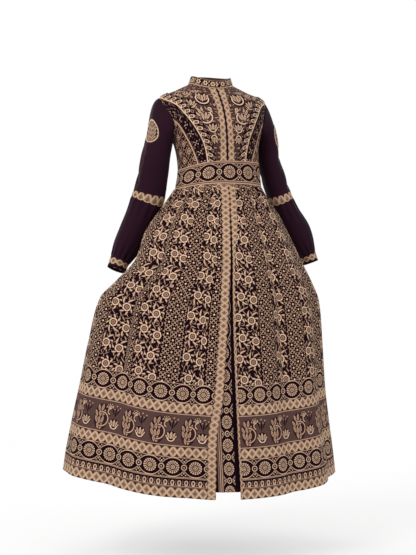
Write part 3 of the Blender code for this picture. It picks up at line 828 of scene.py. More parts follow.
@drawing("braid pattern", "Along", "Across", "Gap")
def braid(x, y, gap):
    """A chain of diamonds between scalloped edges. A wider gap leaves smaller dark marks beside them."""
    a, b = abs(repeat(x, BRAID_PITCH)), abs(y)
    inside = (1 - a / 10 - b / 11.6) * 7.6
    return layered(
        TAN + 0.1,
        (-gap - inside, DARK + 0.04),
        (inside - 1.2, TAN + 0.04),
        (inside - 3.6, TAN - 0.1),
        (inside - 5.8, TAUPE - 0.04),
        (line(inside, 2.6), BRIGHT),
        (b - 11.5 - cosine(x * (math.tau / BRAID_PITCH)) * 0.5, DARK + 0.06),
    )


@drawing("medallion row", "Along", "Across")
def medallion_row(x, y):
    """A row of round medallions in crossing waves, with small rings and check clusters between them."""
    a, b = repeat(x, MEDALLION_PITCH), abs(y)
    r, angle = away(a, y), bearing(a, y)
    beside = abs(a) - MEDALLION_PITCH / 2
    share = abs(a) * (2 / MEDALLION_PITCH)
    wave = b - 28.0 + worked("POWER", share, 2.3) * 19.4
    checks = cosine(beside * (math.tau / 13)) * cosine((b - 17) * (math.tau / 13))
    cluster = least(checks - 0.25, 0.3 * (10.5 - abs(beside) - abs(b - 20)))
    rays = cosine(angle * 16)
    ring = away(beside, y)
    return layered(
        paint(DARK, cluster, BRIGHT, soft=0.3),
        (line(wave - 6.6, 1.8), TAUPE),
        (least(line(wave, 2.6), r - 20), BEIGE + 0.06),
        (18.8 + rays * 0.9 - r, BEIGE + 0.06),
        (least(-rays, line(r - 12.8, 8.2)), DARK),
        (line(r - 7.8, 2.6), DARK),
        (line(r - 3.4, 1.8), DARK),
        (10.6 - ring, DARK),
        (9.0 - ring, BEIGE + 0.06),
        (6.2 - ring, DARK),
        (2.4 - ring, BEIGE),
    )


@drawing("star flower", "Across", "Up", "Ground")
def star_flower(x, y, ground):
    """One star flower with its longer leaves upwards, laid over a ground."""
    r, angle = away(x, y), bearing(x, y)
    across = repeat(angle + r * 0.028, math.tau / 7) * r
    reach = mask(y + 3, 8.0) * 4.2 + 6.8
    share = (r - 12.6 - reach) / reach
    leaves = worked("MULTIPLY_ADD", share * share, -3.3, 3.3) - abs(across)
    return layered(
        paint(ground, 20 - r, DARK, soft=1.2),
        (leaves + 1.5, DARK),
        (leaves, BEIGE + 0.04),
        (12.9 + cosine(angle * 7) * 0.7 - r, BRIGHT),
        (9.0 - r, DARK),
        (6.6 - r, TAN),
        (2.0 - r, TAUPE - 0.1),
    )


@drawing("striped brocade", "Across", "Up", "Narrowing", "Slant")
def striped_brocade(x, y, narrowing, slant):
    """Stripes of star flowers in pairs and of lattice. Gathers narrow what shows and make it lean."""
    s = repeat(x, STRIPE_REPEAT)
    row = worked("FLOOR", y / FLOWER_ROW)
    odd = worked("MODULO", row, 2.0)
    shifted = s - (odd - 0.5) * 13
    side = worked("SIGN", shifted)
    up = y - (row + 0.5) * FLOWER_ROW + side * 6
    across = (shifted - side * 24) * narrowing + up * slant
    up = up * (1 - odd * 2)
    bent = noise(x, y, 30.0, 1.0) * 30
    lean, rise = s * narrowing + bent, y - bent
    leaves = most(sprigs(lean, rise, 19, 21, 52, 19, 3.6, aside=-1),
                  sprigs(lean + 9.5, rise + 10.5, 19, 21, 122, 18, 3.4, aside=1))
    floral = placed(star_flower, across, up, paint(DARK, leaves, TAN + 0.12))

    t = repeat(x - STRIPE_REPEAT / 2, STRIPE_REPEAT) * narrowing
    a, b = diagonals(t, y, LATTICE_CELL)
    m, n = most(a, b), least(a, b)
    lattice = paint(BEIGE, 11.9 - m, DARK)
    dashes = -0.74 - cosine(n * (math.tau / 8.6))
    lattice = paint(lattice, least(least(11.2 - m, m - 6.8) * 0.5, dashes), BEIGE, soft=0.3)
    lattice = paint(lattice, 2.8 - m, BRIGHT)
    past_flowers = abs(s) - FLORAL_HALF
    return layered(floral, (past_flowers, lattice), (line(past_flowers, 3.4), DARK))


def feathered(tone, x, y, rows, fill=BEIGE + 0.08):
    """Lays leaves with dark outlines and ribs. A row is a middle, an angle, a length and a width."""
    for row in rows:
        shape = leaf(x, y, *row)
        tone = layered(tone, (shape + 1.8, DARK), (shape, fill), (shape - row[-1] * 0.36, TAUPE + 0.06))
    return tone


@drawing("tulip motif", "Across", "Up", "Ground")
def tulip(x, y, tone):
    """An open tulip in a round cup, about 52 wide and 48 tall."""
    tone = feathered(paint(tone, 27 - away(x, y), DARK, soft=1.5), x, y, [
        (-15, 8, 112, 30, 8), (15, 8, 68, 30, 8), (-7, 8, 98, 36, 8.5), (7, 8, 82, 36, 8.5),
        (0, 2, 90, 30, 7),
    ])
    cup = away(x, y * 1.06) - 20.5
    return layered(tone, (least(line(cup, 8.0), 6 - y), DARK), (least(line(cup, 4.6), 8 - y), BRIGHT))


@drawing("standing bird motif", "Across", "Up", "Ground")
def standing_bird(x, y, tone):
    """An upright bird of leaf feathers with a raised head to the right, about 55 wide and 82 tall."""
    tone = paint(tone, 24.5 - away(x + 2, (y + 2) * 0.58), DUSK, soft=1.5)
    tone = feathered(tone, x, y, [
        (-3, 27, 84, 24, 8), (-14, 24, 106, 24, 8), (-20, 7, 114, 24, 8), (-8, 7, 96, 26, 8.5),
        (4, 11, 76, 24, 8), (-18, -10, 110, 24, 8.5), (-8, -13, 97, 26, 8.5), (2, -11, 82, 26, 8.5),
        (-10, -30, 102, 22, 8), (0, -31, 80, 22, 8),
    ], fill=TAN + 0.14)
    breast = least(line(away(x + 2, y + 8) - 22, 3.6), least(x + 4, 18 - y))
    neck = least(line(away(x - 26, y - 19) - 10, 3.6), 24 - x)
    head = away(x - 20, y - 31)
    crest = least(1.9 - away(head - 10.5, repeat(bearing(x - 20, y - 31), 0.6) * 10.5), y - 29)
    drawn = most(most(breast, neck), most(line(head - 5.0, 3.0), crest))
    return layered(tone, (drawn + 1.8, DARK), (drawn, BEIGE), (1.8 - head, BRIGHT))


@drawing("bird motif", "Across", "Up", "Ground")
def bird(x, y, tone):
    """A bird of leaf feathers, its round breast to the right under a curled head, about 62 wide and tall."""
    tone = feathered(tone, x, y, [
        (-21, 15, 118, 24, 8), (-12, 20, 102, 24, 8), (-24, 2, 140, 22, 7.5), (-22, -12, 160, 20, 7),
        (-9, -2, 104, 32, 8), (1, 2, 88, 32, 8), (10, 0, 70, 26, 7.5),
    ])
    breast = least(away(x - 2, y + 5) - 21, 40 - y)
    neck = line(away(x - 24, y - 12) - 8, 3.6)
    head = away(x - 14, y - 27)
    drawn = most(least(line(breast, 4.4), least(x + 9, 14 - y)), least(neck, 24 - x))
    drawn = most(drawn, line(head - 5.4, 3.4))
    return layered(tone, (drawn + 2.0, DARK), (drawn, BRIGHT), (1.8 - head, BRIGHT))


@drawing("bud motif", "Across", "Up", "Ground")
def bud(x, y, tone):
    """An open bud of petals on a small cup, about 30 wide and 30 tall."""
    tone = feathered(paint(tone, 16 - away(x, y * 0.95), DARK, soft=1.5), x, y, [
        (-11, -2, 140, 18, 6), (11, -2, 40, 18, 6), (-7.5, 3, 116, 22, 6.5), (7.5, 3, 64, 22, 6.5),
        (0, 4, 90, 24, 7),
    ])
    return paint(tone, least(line(away(x, y + 2) - 11.5, 3.4), -3 - y), BRIGHT)


def braid_tone(along, across, pitch, half, gap):
    """The braid at its own size, with a row of stitches inside each edge."""
    tone = placed(braid, along * (BRAID_PITCH / pitch), across * (BRAID_HALF / half), gap)
    return paint(tone, placed(stitches, abs(across) - (half - STITCH_FROM_EDGE), along), TAUPE)


# Bands above the hem: the height where each begins, its middle, and its rows in the skirt's grid
Band = namedtuple("Band", "name start middle rows")
HEM_BANDS = [
    Band("hem_braid", 0, 15, 4),
    Band("hem_line", 30, 35, 1),
    Band("hem_drops", 36, 46, 3),
    Band("hem_medallions", 60, 91, 6),
    Band("hem_braid", 122, 137, 4),
    Band("hem_birds", 152, 203.5, 10),
    Band("hem_braid", 255, 270, 4),
    Band("hem_medallions", 285, 315, 6),
    Band("stripes", 345, 345, 64),
]
SKIRT_ROWS = sum(band.rows for band in HEM_BANDS)


def up_from(name, y):
    """The height above the middle of the band of that name, or above the nearest of several, either way."""
    heights = [y - band.middle for band in HEM_BANDS if band.name == name]
    if len(heights) == 1:
        return heights[0]
    nearest = abs(heights[-1])
    for height in heights[-2::-1]:
        nearest = least(abs(height), nearest)
    return nearest


def hem_braid(x, y):
    return braid_tone(x, up_from("hem_braid", y), HEM_BRAID_PITCH, 15, gap=3.4)


def hem_line(x, y):
    return paint(placed(weave, x, y, 1.4)[0] * 0.1 + TAUPE, line(up_from("hem_line", y), 1.4), BEIGE)


def hem_drops(x, y):
    a, b = repeat(x, DROP_PITCH), up_from("hem_drops", y)
    beside = repeat(x + DROP_PITCH / 2, DROP_PITCH)
    drop = 5.6 - away(a, most(b * 0.5, least(b, b * 0.9)))
    return layered(
        DARK,
        (line(y - 58.5, 1.6), BEIGE),
        (leaf(beside, b, 0, 2, 90, 17, 3.2), TAUPE),
        (dot(beside, b, 0, -6, 1.7), BEIGE),
        (drop, BRIGHT),
        (drop - 1.7, TAN),
        (drop - 3.6, DUSK),
    )


def hem_medallions(x, y):
    across = up_from("hem_medallions", y)
    return paint(placed(medallion_row, x - 46, across), line(across - 29.6, 1.8), BEIGE)


def hem_birds(x, y):
    """Standing birds on a hatched ground, and between them buds under three dark leaves and a few dots."""
    b = up_from("hem_birds", y)
    beside = repeat(x - 63, BIRD_REPEAT)
    tone = cosine((x + y) * (math.tau / 2.6)) * 0.08 + (TAUPE - 0.07)
    tone = placed(standing_bird, repeat(x - 21, BIRD_REPEAT), b + 3, tone)
    for place in ((-9, 17, 118, 26, 4), (9, 17, 62, 26, 4), (0, 14, 90, 34, 4.5)):
        tone = paint(tone, leaf(beside, b, *place), DARK)
    pair = abs(beside)
    dots = most(dot(beside, b, 0, 35, 2.2), most(dot(pair, b, 13, 31, 2.0), dot(pair, b, 6, 24, 1.6)))
    tone = placed(bud, beside, b + 22, paint(tone, dots, BEIGE))
    return paint(tone, line(abs(b) - 48.5, 2.2), BEIGE)


def stripes(x, y):
    """The gathers' map says how much of the width shows, as a share, and how much upward lines lean."""
    return placed(striped_brocade, x, y, *read_map(x.socket.id_data, "narrowing"))


# Motifs of the centre front panels: the distance from the centre line and the height
Motif = namedtuple("Motif", "kind aside height angle size wide")
CHEST_MOTIFS = [
    Motif("bird", 62, -112, 8, 0.88, 1.08),
    Motif("tulip", 60, -54, 10, 0.90, 1.10),
    Motif("bud", 101, -71, 12, 0.95, 1.15),
    Motif("bud", 136, -39, 24, 0.90, 1.10),
    Motif("bud", 104, -30, 20, 0.75, 1.20),
    Motif("bud", 74, -13, 14, 0.75, 1.20),
    Motif("bud", 132, -6, 30, 0.80, 1.15),
    Motif("bud", 43, -151, 4, 0.92, 1.05),
    Motif("bud", 41, -187, 180, 0.95, 0.85),
]

# Each kind with its drawing, and half the width and height of the place that it takes
MOTIF_KINDS = [("bud", bud, 18, 18), ("tulip", tulip, 28, 28), ("bird", bird, 34, 35)]


def gathered_motifs(x, y, motifs, half_wide, half_tall):
    """The place as seen from the motif that it lies in, and far off where there is none."""
    across, up = FAR_OFF, FAR_OFF
    for motif in motifs:
        right, rise = turned(x, y, motif.aside, motif.height, motif.angle)
        right, rise = right * (-1 / (motif.size * motif.wide)), rise / motif.size
        near = least(half_wide - abs(right), half_tall - abs(rise))
        across = paint(across, near, right, soft=0.01)
        up = paint(up, near, rise, soft=0.01)
    return across, up


def chest(x, y):
    """A hatched ground with scattered leaves, and birds, tulips and buds in dark outlines."""
    leaves = sprigs(*strewn(x, y, 24.0, 20), 17, 14, 35, 15, 5.2)
    tone = cosine((x - y) * (math.tau / 2.4)) * 0.1 + noise(x, y, 7.0) * 0.16 + 0.22
    tone = layered(tone, (leaves + 2.2, DARK), (leaves, TAN + 0.12))
    for kind, drawn, half_wide, half_tall in MOTIF_KINDS:
        motifs = [motif for motif in CHEST_MOTIFS if motif.kind == kind]
        across, up = gathered_motifs(x, y, motifs, half_wide, half_tall)
        tone = placed(drawn, across, up, tone)
    return tone


def rosettes(x, y):
    """Five-dot rosettes and a leafy vine beside the piped seam."""
    a, b = repeat(x - 22, 44), repeat(y, 34)
    leaves = sprigs(*strewn(x, y, 22.0, 16), 15, 17, 65, 15, 5.5)
    return layered(
        paint(DARK, leaves, TAUPE + 0.06, soft=1.5),
        (12.5 - away(a, b), DARK),
        (most(dot(a, b, 0, 0, 2.3), dot(abs(a), abs(b), 5.6, 5.0, 2.3)), BEIGE),
        (7.5 - x, DARK),
        (line(x - 3.0, 4.4), BEIGE),
    )


def side_cloth(x, y):
    """Leaves and diamonds on a dark ground, for the panels under the arms."""
    lean, rise = strewn(x, y, 20.0, 18)
    leaves = most(sprigs(lean, rise, 13, 15, 60, 13, 4.4),
                  sprigs(lean + 6.5, rise + 7.5, 13, 15, 120, 12, 4.0))
    m = most(*diagonals(x, y, SIDE_CELL))
    return layered(
        DARK + 0.02,
        (leaves, TAN),
        (8.5 - m, DARK),
        (7 - m, BEIGE),
        (4.6 - m, DARK),
        (2.2 - m, BRIGHT),
    )


def curved_trim(x, y):
    """Slanting round marks with dark middles, a bright outer edge and small ornaments on the inner side."""
    b = repeat(y, TRIM_PITCH)
    slant = x - 15.0 - b * 0.5
    inside = 8.0 - away(b, slant) * 0.55 - (abs(b) + abs(slant)) * 0.42
    beside = repeat(y + TRIM_PITCH / 2, TRIM_PITCH)
    small = (1 - abs(beside) / 7.5 - abs(x - 4.5) / 4.8) * 4
    return layered(
        DARK,
        (inside, BRIGHT),
        (inside - 3.4, DARK),
        (inside - 6.4, BEIGE),
        (small, TAN + 0.04),
        (small - 1.9, DARK),
        (leaf(beside, x, 0, 19.5, 8, 11, 4), TAN),
        (x - 23.2, BRIGHT),
        (x - 27, DARK),
    )


def belt(x, y):
    b = abs(y)
    return layered(
        placed(medallion_row, x - 6.5, y),
        (b - 27.0, DARK),
        (b - 28.0, BEIGE),
        (b - 30.2, TAUPE - 0.06),
        (b - 33.6, BEIGE),
    )


def underlay(x, y):
    """Medallions down the middle, stripes on the left, painted shade of the gap between the fronts. Across
    runs leftwards from the right edge.
    """
    return layered(
        placed(medallion_row, y * (MEDALLION_PITCH / 71), (x + 29) * 1.3),
        # Painted shade: a dark strip at the opening for the shadow in the gap between the fronts, 13 mm wide
        # at the lower edge and narrowing to 5.5 mm
        (x + most(13 - y * 0.0115, 5.5), DARK),
        (-46 - x, TAUPE - 0.06),
        (line(x + 49.5, 2), BEIGE),
        (line(x + 55, 2.2), BEIGE),
        (line(x + 60, 1.6), TAN),
        (-63 - x, DARK),
    )


def collar_cloth(x, y):
    """Flowers between leaves in beige on dark, over a beige line at the collar's foot."""
    a, b = repeat(x, COLLAR_PITCH), y - 14
    r, angle = away(a, b), bearing(a, b)
    return layered(
        DARK,
        (sprigs(*strewn(x, y, 20.0, 14), 11, 12, 50, 12, 4.4), BEIGE),
        (10.2 - r, DARK),
        (7.4 + cosine(angle * 6) * 1.6 - r, BRIGHT),
        (3.2 - r, DARK),
        (3.0 - y, BEIGE),
        (y - 24.4, TAN),
    )


def upper_crepe(x, y):
    """Plain crepe with a thin sewn line of leaves down the arm's outer side."""
    middle = x - 17 - cosine(y * (math.tau / 32)) * 1.4
    return layered(
        noise(x, y, 3.0, 3.0) * 0.14 + 0.06,
        (line(middle, 1.4), TAUPE),
        (leaf(abs(middle), repeat(y, 8), 3.2, 0, 55, 8, 2.6), TAUPE),
    )


def plain_crepe(x, y):
    return noise(x, y, 3.0, 3.0) * 0.14 + 0.05


def elbow_braid(x, y):
    return paint(braid_tone(x, y, 21, 12.5, gap=3.2), -12.2 - y, DARK)


def cuff_braid(x, y):
    """A braid with a thin dark edge below it."""
    return paint(braid_tone(x, y - 3, 21, 11.5, gap=3.2), -9.3 - y, DARK)


def placket(x, y):
    return braid_tone(y, x, 21.5, 11.5, gap=5.8)


def skirt_edge(x, y):
    return braid_tone(y, x - 13.5, 20.5, 13.5, gap=5.2)


def patch_leaves(x, y):
    """Slanting leaves with dark veins on both sides of a stem, inside a scalloped border."""
    right, up = x / 29, y / 41
    rim = away(right, up) * 35
    leaves = leaf(abs(x), repeat(y - abs(x) * 0.8, 15), 11, 0, 42, 24, 9.5)
    return layered(
        DARK + 0.05,
        (leaves, BRIGHT - 0.07),
        (leaves - 2.8, DUSK),
        (line(x, 3.2), BEIGE),
        (rim - 26.8, DARK),
        (rim - 29.6 - cosine(bearing(right, up) * 18) * 1.5, BRIGHT - 0.07),
    )


# Painted shade: the front piping's near-black colour stands for the shadow in the gap between the two fronts
def plain_piping(x, y):
    return placed(weave, x, y, 0.6)[0] * 0.1 + 0.02


def plain_lining(x, y):
    return placed(weave, x, y, 0.8)[1] * 0.25 + 0.2


# Colours of the threads as they look in daylight, from dark to light
PLUM_BROCADE = ((22, 3, 15), (52, 27, 34), (98, 73, 66), (149, 113, 95), (195, 158, 130), (222, 188, 157))
BRAID_COLOURS = ((24, 6, 14), (76, 50, 46), (110, 83, 70), (150, 118, 96), (182, 149, 122), (206, 174, 144))
CREPE_COLOURS = ((24, 5, 17), (43, 18, 33), (70, 46, 48), (128, 98, 80), (168, 134, 106), (190, 154, 120))

# How a cloth is drawn, its thread in millimetres and its finish
Cloth = namedtuple("Cloth", "draw colours thread roughness sheen", defaults=(PLUM_BROCADE, 0.55, 0.85, 0.02))
BRAIDED = (BRAID_COLOURS, 0.8, 0.75, 0.03)
CREPE = (CREPE_COLOURS, 0.5, 0.75, 0.05)
CLOTHS = {
    "lining": Cloth(plain_lining, PLUM_BROCADE, 0.6, 0.7, 0.03),
    "stripes": Cloth(stripes),
    "hem_braid": Cloth(hem_braid, *BRAIDED),
    "hem_line": Cloth(hem_line),
    "hem_drops": Cloth(hem_drops),
    "hem_medallions": Cloth(hem_medallions),
    "hem_birds": Cloth(hem_birds),
    "chest": Cloth(chest),
    "rosettes": Cloth(rosettes),
    "side_cloth": Cloth(side_cloth),
    "curved_trim": Cloth(curved_trim, PLUM_BROCADE, 0.6, 0.75, 0.03),
    "belt": Cloth(belt, PLUM_BROCADE, 0.55, 0.82, 0.02),
    "underlay": Cloth(underlay),
    "collar_cloth": Cloth(collar_cloth, BRAID_COLOURS, 0.55, 0.82, 0.02),
    "upper_crepe": Cloth(upper_crepe, *CREPE),
    "plain_crepe": Cloth(plain_crepe, *CREPE),
    "elbow_braid": Cloth(elbow_braid, *BRAIDED),
    "cuff_braid": Cloth(cuff_braid, *BRAIDED),
    "placket": Cloth(placket, *BRAIDED),
    "skirt_edge": Cloth(skirt_edge, *BRAIDED),
    "patch_leaves": Cloth(patch_leaves, BRAID_COLOURS, 0.7, 0.75, 0.03),
    "plain_piping": Cloth(plain_piping, PLUM_BROCADE, 0.5, 0.6, 0.02),
}

# Finish that all the cloths share
SPECULAR = 0.07
SHEEN_ROUGHNESS = 0.45
RELIEF = 0.0005
RELIEF_STRENGTH = 0.55
DIMMEST = 0.75


def light_of(values):
    """A colour of 0 to 255 as the amount of light that it sends back."""
    shares = [value / 255 for value in values]
    return tuple(s / 12.92 if s < 0.04045 else ((s + 0.055) / 1.055) ** 2.4 for s in shares) + (1.0,)


def cloth_material(name, cloth):
    """A woven cloth, whose tone is drawn from the place on the flat cloth in millimetres."""
    material = bpy.data.materials.new(name)
    material.use_nodes = True
    tree = material.node_tree
    shader = tree.nodes["Principled BSDF"]
    across, up = read_map(tree, "cloth")
    x, y = across * 1000, up * 1000
    tone = cloth.draw(x, y)
    height, shade = placed(weave, x, y, cloth.thread)

    ramp = tree.nodes.new("ShaderNodeValToRGB")
    stops = ramp.color_ramp.elements
    while len(stops) < len(TONES):
        stops.new(0.5)
    for stop, position, colour in zip(stops, TONES, cloth.colours):
        stop.position = position
        stop.color = light_of(colour)
    feed(ramp.inputs[0], tone)
    grey = tree.nodes.new("ShaderNodeCombineColor")
    # The colour is darkened by soft blots of uneven tone, which the cloth has under any lamp, and where the
    # weave's threads dip, which is painted shade between the threads
    dimming = shade * 0.5 + height * 0.12 + DIMMEST
    for slot in grey.inputs[:3]:
        feed(slot, dimming)
    blots_and_thread_shade = tree.nodes.new("ShaderNodeMix")
    blots_and_thread_shade.data_type = "RGBA"
    blots_and_thread_shade.blend_type = "MULTIPLY"
    blots_and_thread_shade.inputs[0].default_value = 1.0
    tree.links.new(ramp.outputs[0], blots_and_thread_shade.inputs["A"])
    tree.links.new(grey.outputs[0], blots_and_thread_shade.inputs["B"])
    tree.links.new(blots_and_thread_shade.outputs["Result"], shader.inputs["Base Color"])

    feed(shader.inputs["Roughness"], (1 - tone * 0.3) * cloth.roughness + shade * 0.1)
    shader.inputs["Sheen Weight"].default_value = cloth.sheen
    shader.inputs["Sheen Roughness"].default_value = SHEEN_ROUGHNESS
    shader.inputs["Specular IOR Level"].default_value = SPECULAR
    bump = tree.nodes.new("ShaderNodeBump")
    bump.inputs["Strength"].default_value = RELIEF_STRENGTH
    bump.inputs["Distance"].default_value = RELIEF
    feed(bump.inputs["Height"], tone * 0.7 + height * 0.3)
    tree.links.new(bump.outputs[0], shader.inputs["Normal"])
    return material


MATERIALS = {name: cloth_material(name, cloth) for name, cloth in CLOTHS.items()}


# The sheets of cloth
NARROWEST_CUT = 0.010


def sheet(node, ground, plan, cloth_place, columns, rows, finishes, tube=False, lift=0.0,
          wall=WALL, facing=1, fullness=1.0, band=None, border_place=None, lay_of=None):
    """One sheet in place of a solid: a fine grid with its flat cloth's map, closed to a thin wall."""
    grid = bmesh.new()
    bmesh.ops.create_grid(grid, x_segments=columns, y_segments=rows, size=0.5)
    keep_u = grid.verts.layers.float.new("u")
    keep_v = grid.verts.layers.float.new("v")
    for vertex in grid.verts:
        u, v = vertex.co.x + 0.5, vertex.co.y + 0.5
        vertex[keep_u], vertex[keep_v] = u, v
        vertex.co = ground(*plan(u, v))
    cloth_map = grid.loops.layers.uv.new("cloth")
    narrowing_map = grid.loops.layers.uv.new("narrowing")
    reach_x, reach_y = [], []
    for face in grid.faces:
        if band:
            face.material_index = band(sum(v[keep_v] for v in face.verts) / len(face.verts))
        for loop in face.loops:
            u, v = loop.vert[keep_u], loop.vert[keep_v]
            if border_place and face.material_index:
                x, y = border_place(u, v, finishes[face.material_index])
            else:
                x, y = cloth_place(u, v)
            loop[cloth_map].uv = (x, y)
            loop[narrowing_map].uv = lay_of(u, v) if lay_of else (1.0, 0.0)
            reach_x.append(x)
            reach_y.append(y)
    if tube:
        bmesh.ops.remove_doubles(grid, verts=grid.verts[:], dist=0.00001)
    grid.faces.ensure_lookup_table()
    grid.normal_update()
    middle = grid.faces[len(grid.faces) // 2 + columns // 2]
    spot = middle.verts[0]
    along_turn, along_level = slopes(ground, *plan(spot[keep_u], spot[keep_v]))
    if middle.normal.dot(along_turn.cross(along_level)) * facing < 0:
        bmesh.ops.reverse_faces(grid, faces=grid.faces[:])
    grid.normal_update()
    surface = sum(face.calc_area() for face in grid.faces)
    inner_layer = grid.verts[:]
    inner_faces = grid.faces[:]
    normals = {tuple(vertex.co): vertex.normal.copy() for vertex in inner_layer}
    extruded = bmesh.ops.extrude_face_region(grid, geom=grid.faces[:], use_keep_orig=True)
    outer_layer = [item for item in extruded["geom"] if isinstance(item, bmesh.types.BMVert)]
    for layer, distance in ((inner_layer, lift), (outer_layer, lift + wall)):
        for vertex in layer:
            vertex.co += normals[tuple(vertex.co)] * distance
    if wall <= WALL and not lift:
        for face in inner_faces:
            face.material_index = len(finishes)
    bmesh.ops.recalc_face_normals(grid, faces=grid.faces[:])
    mesh = bpy.data.meshes.new(f"{node}_cloth")
    grid.to_mesh(mesh)
    grid.free()
    mesh.shade_smooth()
    mesh.set_sharp_from_angle(angle=math.radians(SHARP_ANGLE))
    for finish in finishes:
        mesh.materials.append(MATERIALS[finish])
    mesh.materials.append(MATERIALS["lining"])
    piece = bpy.data.objects.new(f"{node}_cloth", mesh)
    bpy.context.scene.collection.objects.link(piece)
    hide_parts(node)
    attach(piece, "root")
    length = max(reach_y) - min(reach_y)
    width = max(max(reach_x) - min(reach_x), surface * fullness / length * CUT_MARGIN, NARROWEST_CUT)
    surface * fullness


def lengths_along(ground, path, steps):
    """The distance along a path from its start, for each of its steps."""
    places = [ground(*path(i / steps)) for i in range(steps + 1)]
    sums = [0.0]
    for before, after in zip(places, places[1:]):
        sums.append(sums[-1] + (after - before).length)
    return sums


def read_at(values, share):
    """Reads an even row of values at a share of its length."""
    place = min(max(share, 0.0), 1.0) * (len(values) - 1)
    low = min(int(place), len(values) - 2)
    return values[low] + (values[low + 1] - values[low]) * (place - low)


def strip(node, ground, first, second, width, rows, finish, columns, wall=BRAID_WALL,
          lift=0.0, centred=True, fullness=1.0):
    """A band between two lines, mapped by its width and the distance along it."""
    plan = between(first, second)
    along = lengths_along(ground, lambda t: plan(0.5, t), 120)
    shift = 0.5 if centred else 0.0

    def cloth_place(u, v):
        return (u - shift) * width, read_at(along, v)

    sheet(node, ground, plan, cloth_place, columns, rows, [finish], lift=lift, wall=wall,
          fullness=fullness)


# Lengths round the bodice that were measured before, for even levels
ARC_LEVELS = 28
ARCS = {}


def round_body(start, turn, level):
    """The distance round the bodice from one turn to another at a level."""
    way = 1 if turn > start else -1
    if (start, way) not in ARCS:
        ARCS[start, way] = [
            lengths_along(torso, lambda t, i=i: (start + way * 180 * t, NECK * i / ARC_LEVELS), 45)
            for i in range(ARC_LEVELS + 1)
        ]
    rows = ARCS[start, way]
    place = min(max(level, 0.0), NECK - 0.001) / NECK * ARC_LEVELS
    low = int(place)
    share = abs(turn - start) / 180
    return read_at(rows[low], share) * (low + 1 - place) + read_at(rows[low + 1], share) * (place - low)


def climbed_to(middle, turn, level):
    """The height of a level at the centre line, and above the shoulder tip the way over the shoulder too."""
    height = torso(middle, min(level, SHOULDER_TIP)).z
    if level > SHOULDER_TIP:
        places = [torso(turn, SHOULDER_TIP + (level - SHOULDER_TIP) * i / 4) for i in range(5)]
        height += sum((after - before).length for before, after in zip(places, places[1:]))
    return height


def body_map(plan):
    """A map by the distance round the body and the height."""

    def cloth_place(u, v):
        turn, level = plan(u, v)
        return round_body(0, turn, level), climbed_to(0, turn, level)

    return cloth_place


def make_bodice(side_name, side):
    trim_line = seam_line(TRIM_LINE, side, 0, 25)
    piped_line = seam_line(PIPED_LINE, side, PIPED_LINE_END, 40)
    front_edge = line_through([(0, BELT_TOP), (0, 4), (0, NECK)])
    piping_edge = moved_round(torso, front_edge, side * PIPING_WIDTH)
    inner, outer = trim_edges(side, trim_line)
    neck = straight(piping_edge(1), (side * 90, NECK))
    shoulder = straight((side * 90, NECK), (side * 90, SHOULDER_TIP))
    side_seam = straight((side * 90, BELT_TOP), armhole(180, side))

    top = chained(neck, shoulder, 0.5)
    centre = patch(straight(piping_edge(0), trim_line(0)), top, piping_edge, trim_line)
    front = f"bodice_front_centre_{side_name}"
    sheet(front, torso, centre, body_map(centre), 48, 60, ["chest"])
    mid = patch(
        straight(trim_line(0), piped_line(0)),
        lambda t: armhole(PIPED_LINE_END * t, side),
        trim_line,
        piped_line,
    )
    risen = lengths_along(torso, lambda t: mid(0.5, t), 60)

    def from_piping(u, v):
        width = (torso(*mid(1, v)) - torso(*mid(0, v))).length
        return (1 - u) * width, read_at(risen, v)

    sheet(f"bodice_front_mid_{side_name}", torso, mid, from_piping, 20, 60,
          ["rosettes"])
    under_arm = patch(
        straight(piped_line(0), (side * 90, BELT_TOP)),
        lambda t: armhole(PIPED_LINE_END + (180 - PIPED_LINE_END) * t, side),
        piped_line,
        side_seam,
    )
    sheet(f"bodice_front_side_{side_name}", torso, under_arm, body_map(under_arm), 24, 48,
          ["side_cloth"])
    trim_front = line_through([(0, BELT_TOP), (0, 4), (0, NECK - BELOW_NECK)])
    piping = moved_round(torso, trim_front, side * PIPING_WIDTH)
    # The front piping is near-black, painted shade of the gap between the fronts
    strip(f"front_piping_{side_name}", torso, trim_front, piping, PIPING_WIDTH, 60,
          "plain_piping", 2, wall=WALL + BRAID_WALL, fullness=PIPING_FULLNESS)
    placket_outer = moved_round(torso, piping, side * PLACKET_BRAID_WIDTH)
    strip(f"placket_braid_{side_name}", torso, piping, placket_outer, PLACKET_BRAID_WIDTH, 90,
          "placket", 6, lift=OVERLAY)
    strip(f"shoulder_trim_{side_name}", torso, inner, outer, TRIM_WIDTH, 90,
          "curved_trim", 6, lift=TRIM_OVERLAY, centred=False)


def make_back():
    lines = {side: seam_line(BACK_LINE, side, 0, 155) for side in SIDES.values()}
    right = lines[1]

    def left(t):
        turn, level = lines[-1](t)
        return turn + 360, level

    shoulder_left = straight((270, SHOULDER_TIP), (270, NECK))
    neck = straight((270, NECK), (90, NECK))
    shoulder_right = straight((90, NECK), (90, SHOULDER_TIP))
    top = chained(shoulder_left, chained(neck, shoulder_right, 0.6), 0.286)
    back = patch(straight(left(0), right(0)), top, left, right)

    def from_middle(u, v):
        turn, level = back(u, v)
        way = 1 if turn < 180 else -1
        return way * round_body(180, turn, level), climbed_to(180, turn, level) + 0.4

    sheet("bodice_back", torso, back, from_middle, 90, 72, ["stripes"])
    for side_name, side in SIDES.items():
        side_seam = straight((side * 90, BELT_TOP), armhole(180, side))
        plan = patch(straight((side * 90, BELT_TOP), lines[side](0)),
                     lambda t, side=side: armhole(180 + 180 * t, side), side_seam, lines[side])
        sheet(f"bodice_back_side_{side_name}", torso, plan, body_map(plan), 28, 60,
              ["side_cloth"])


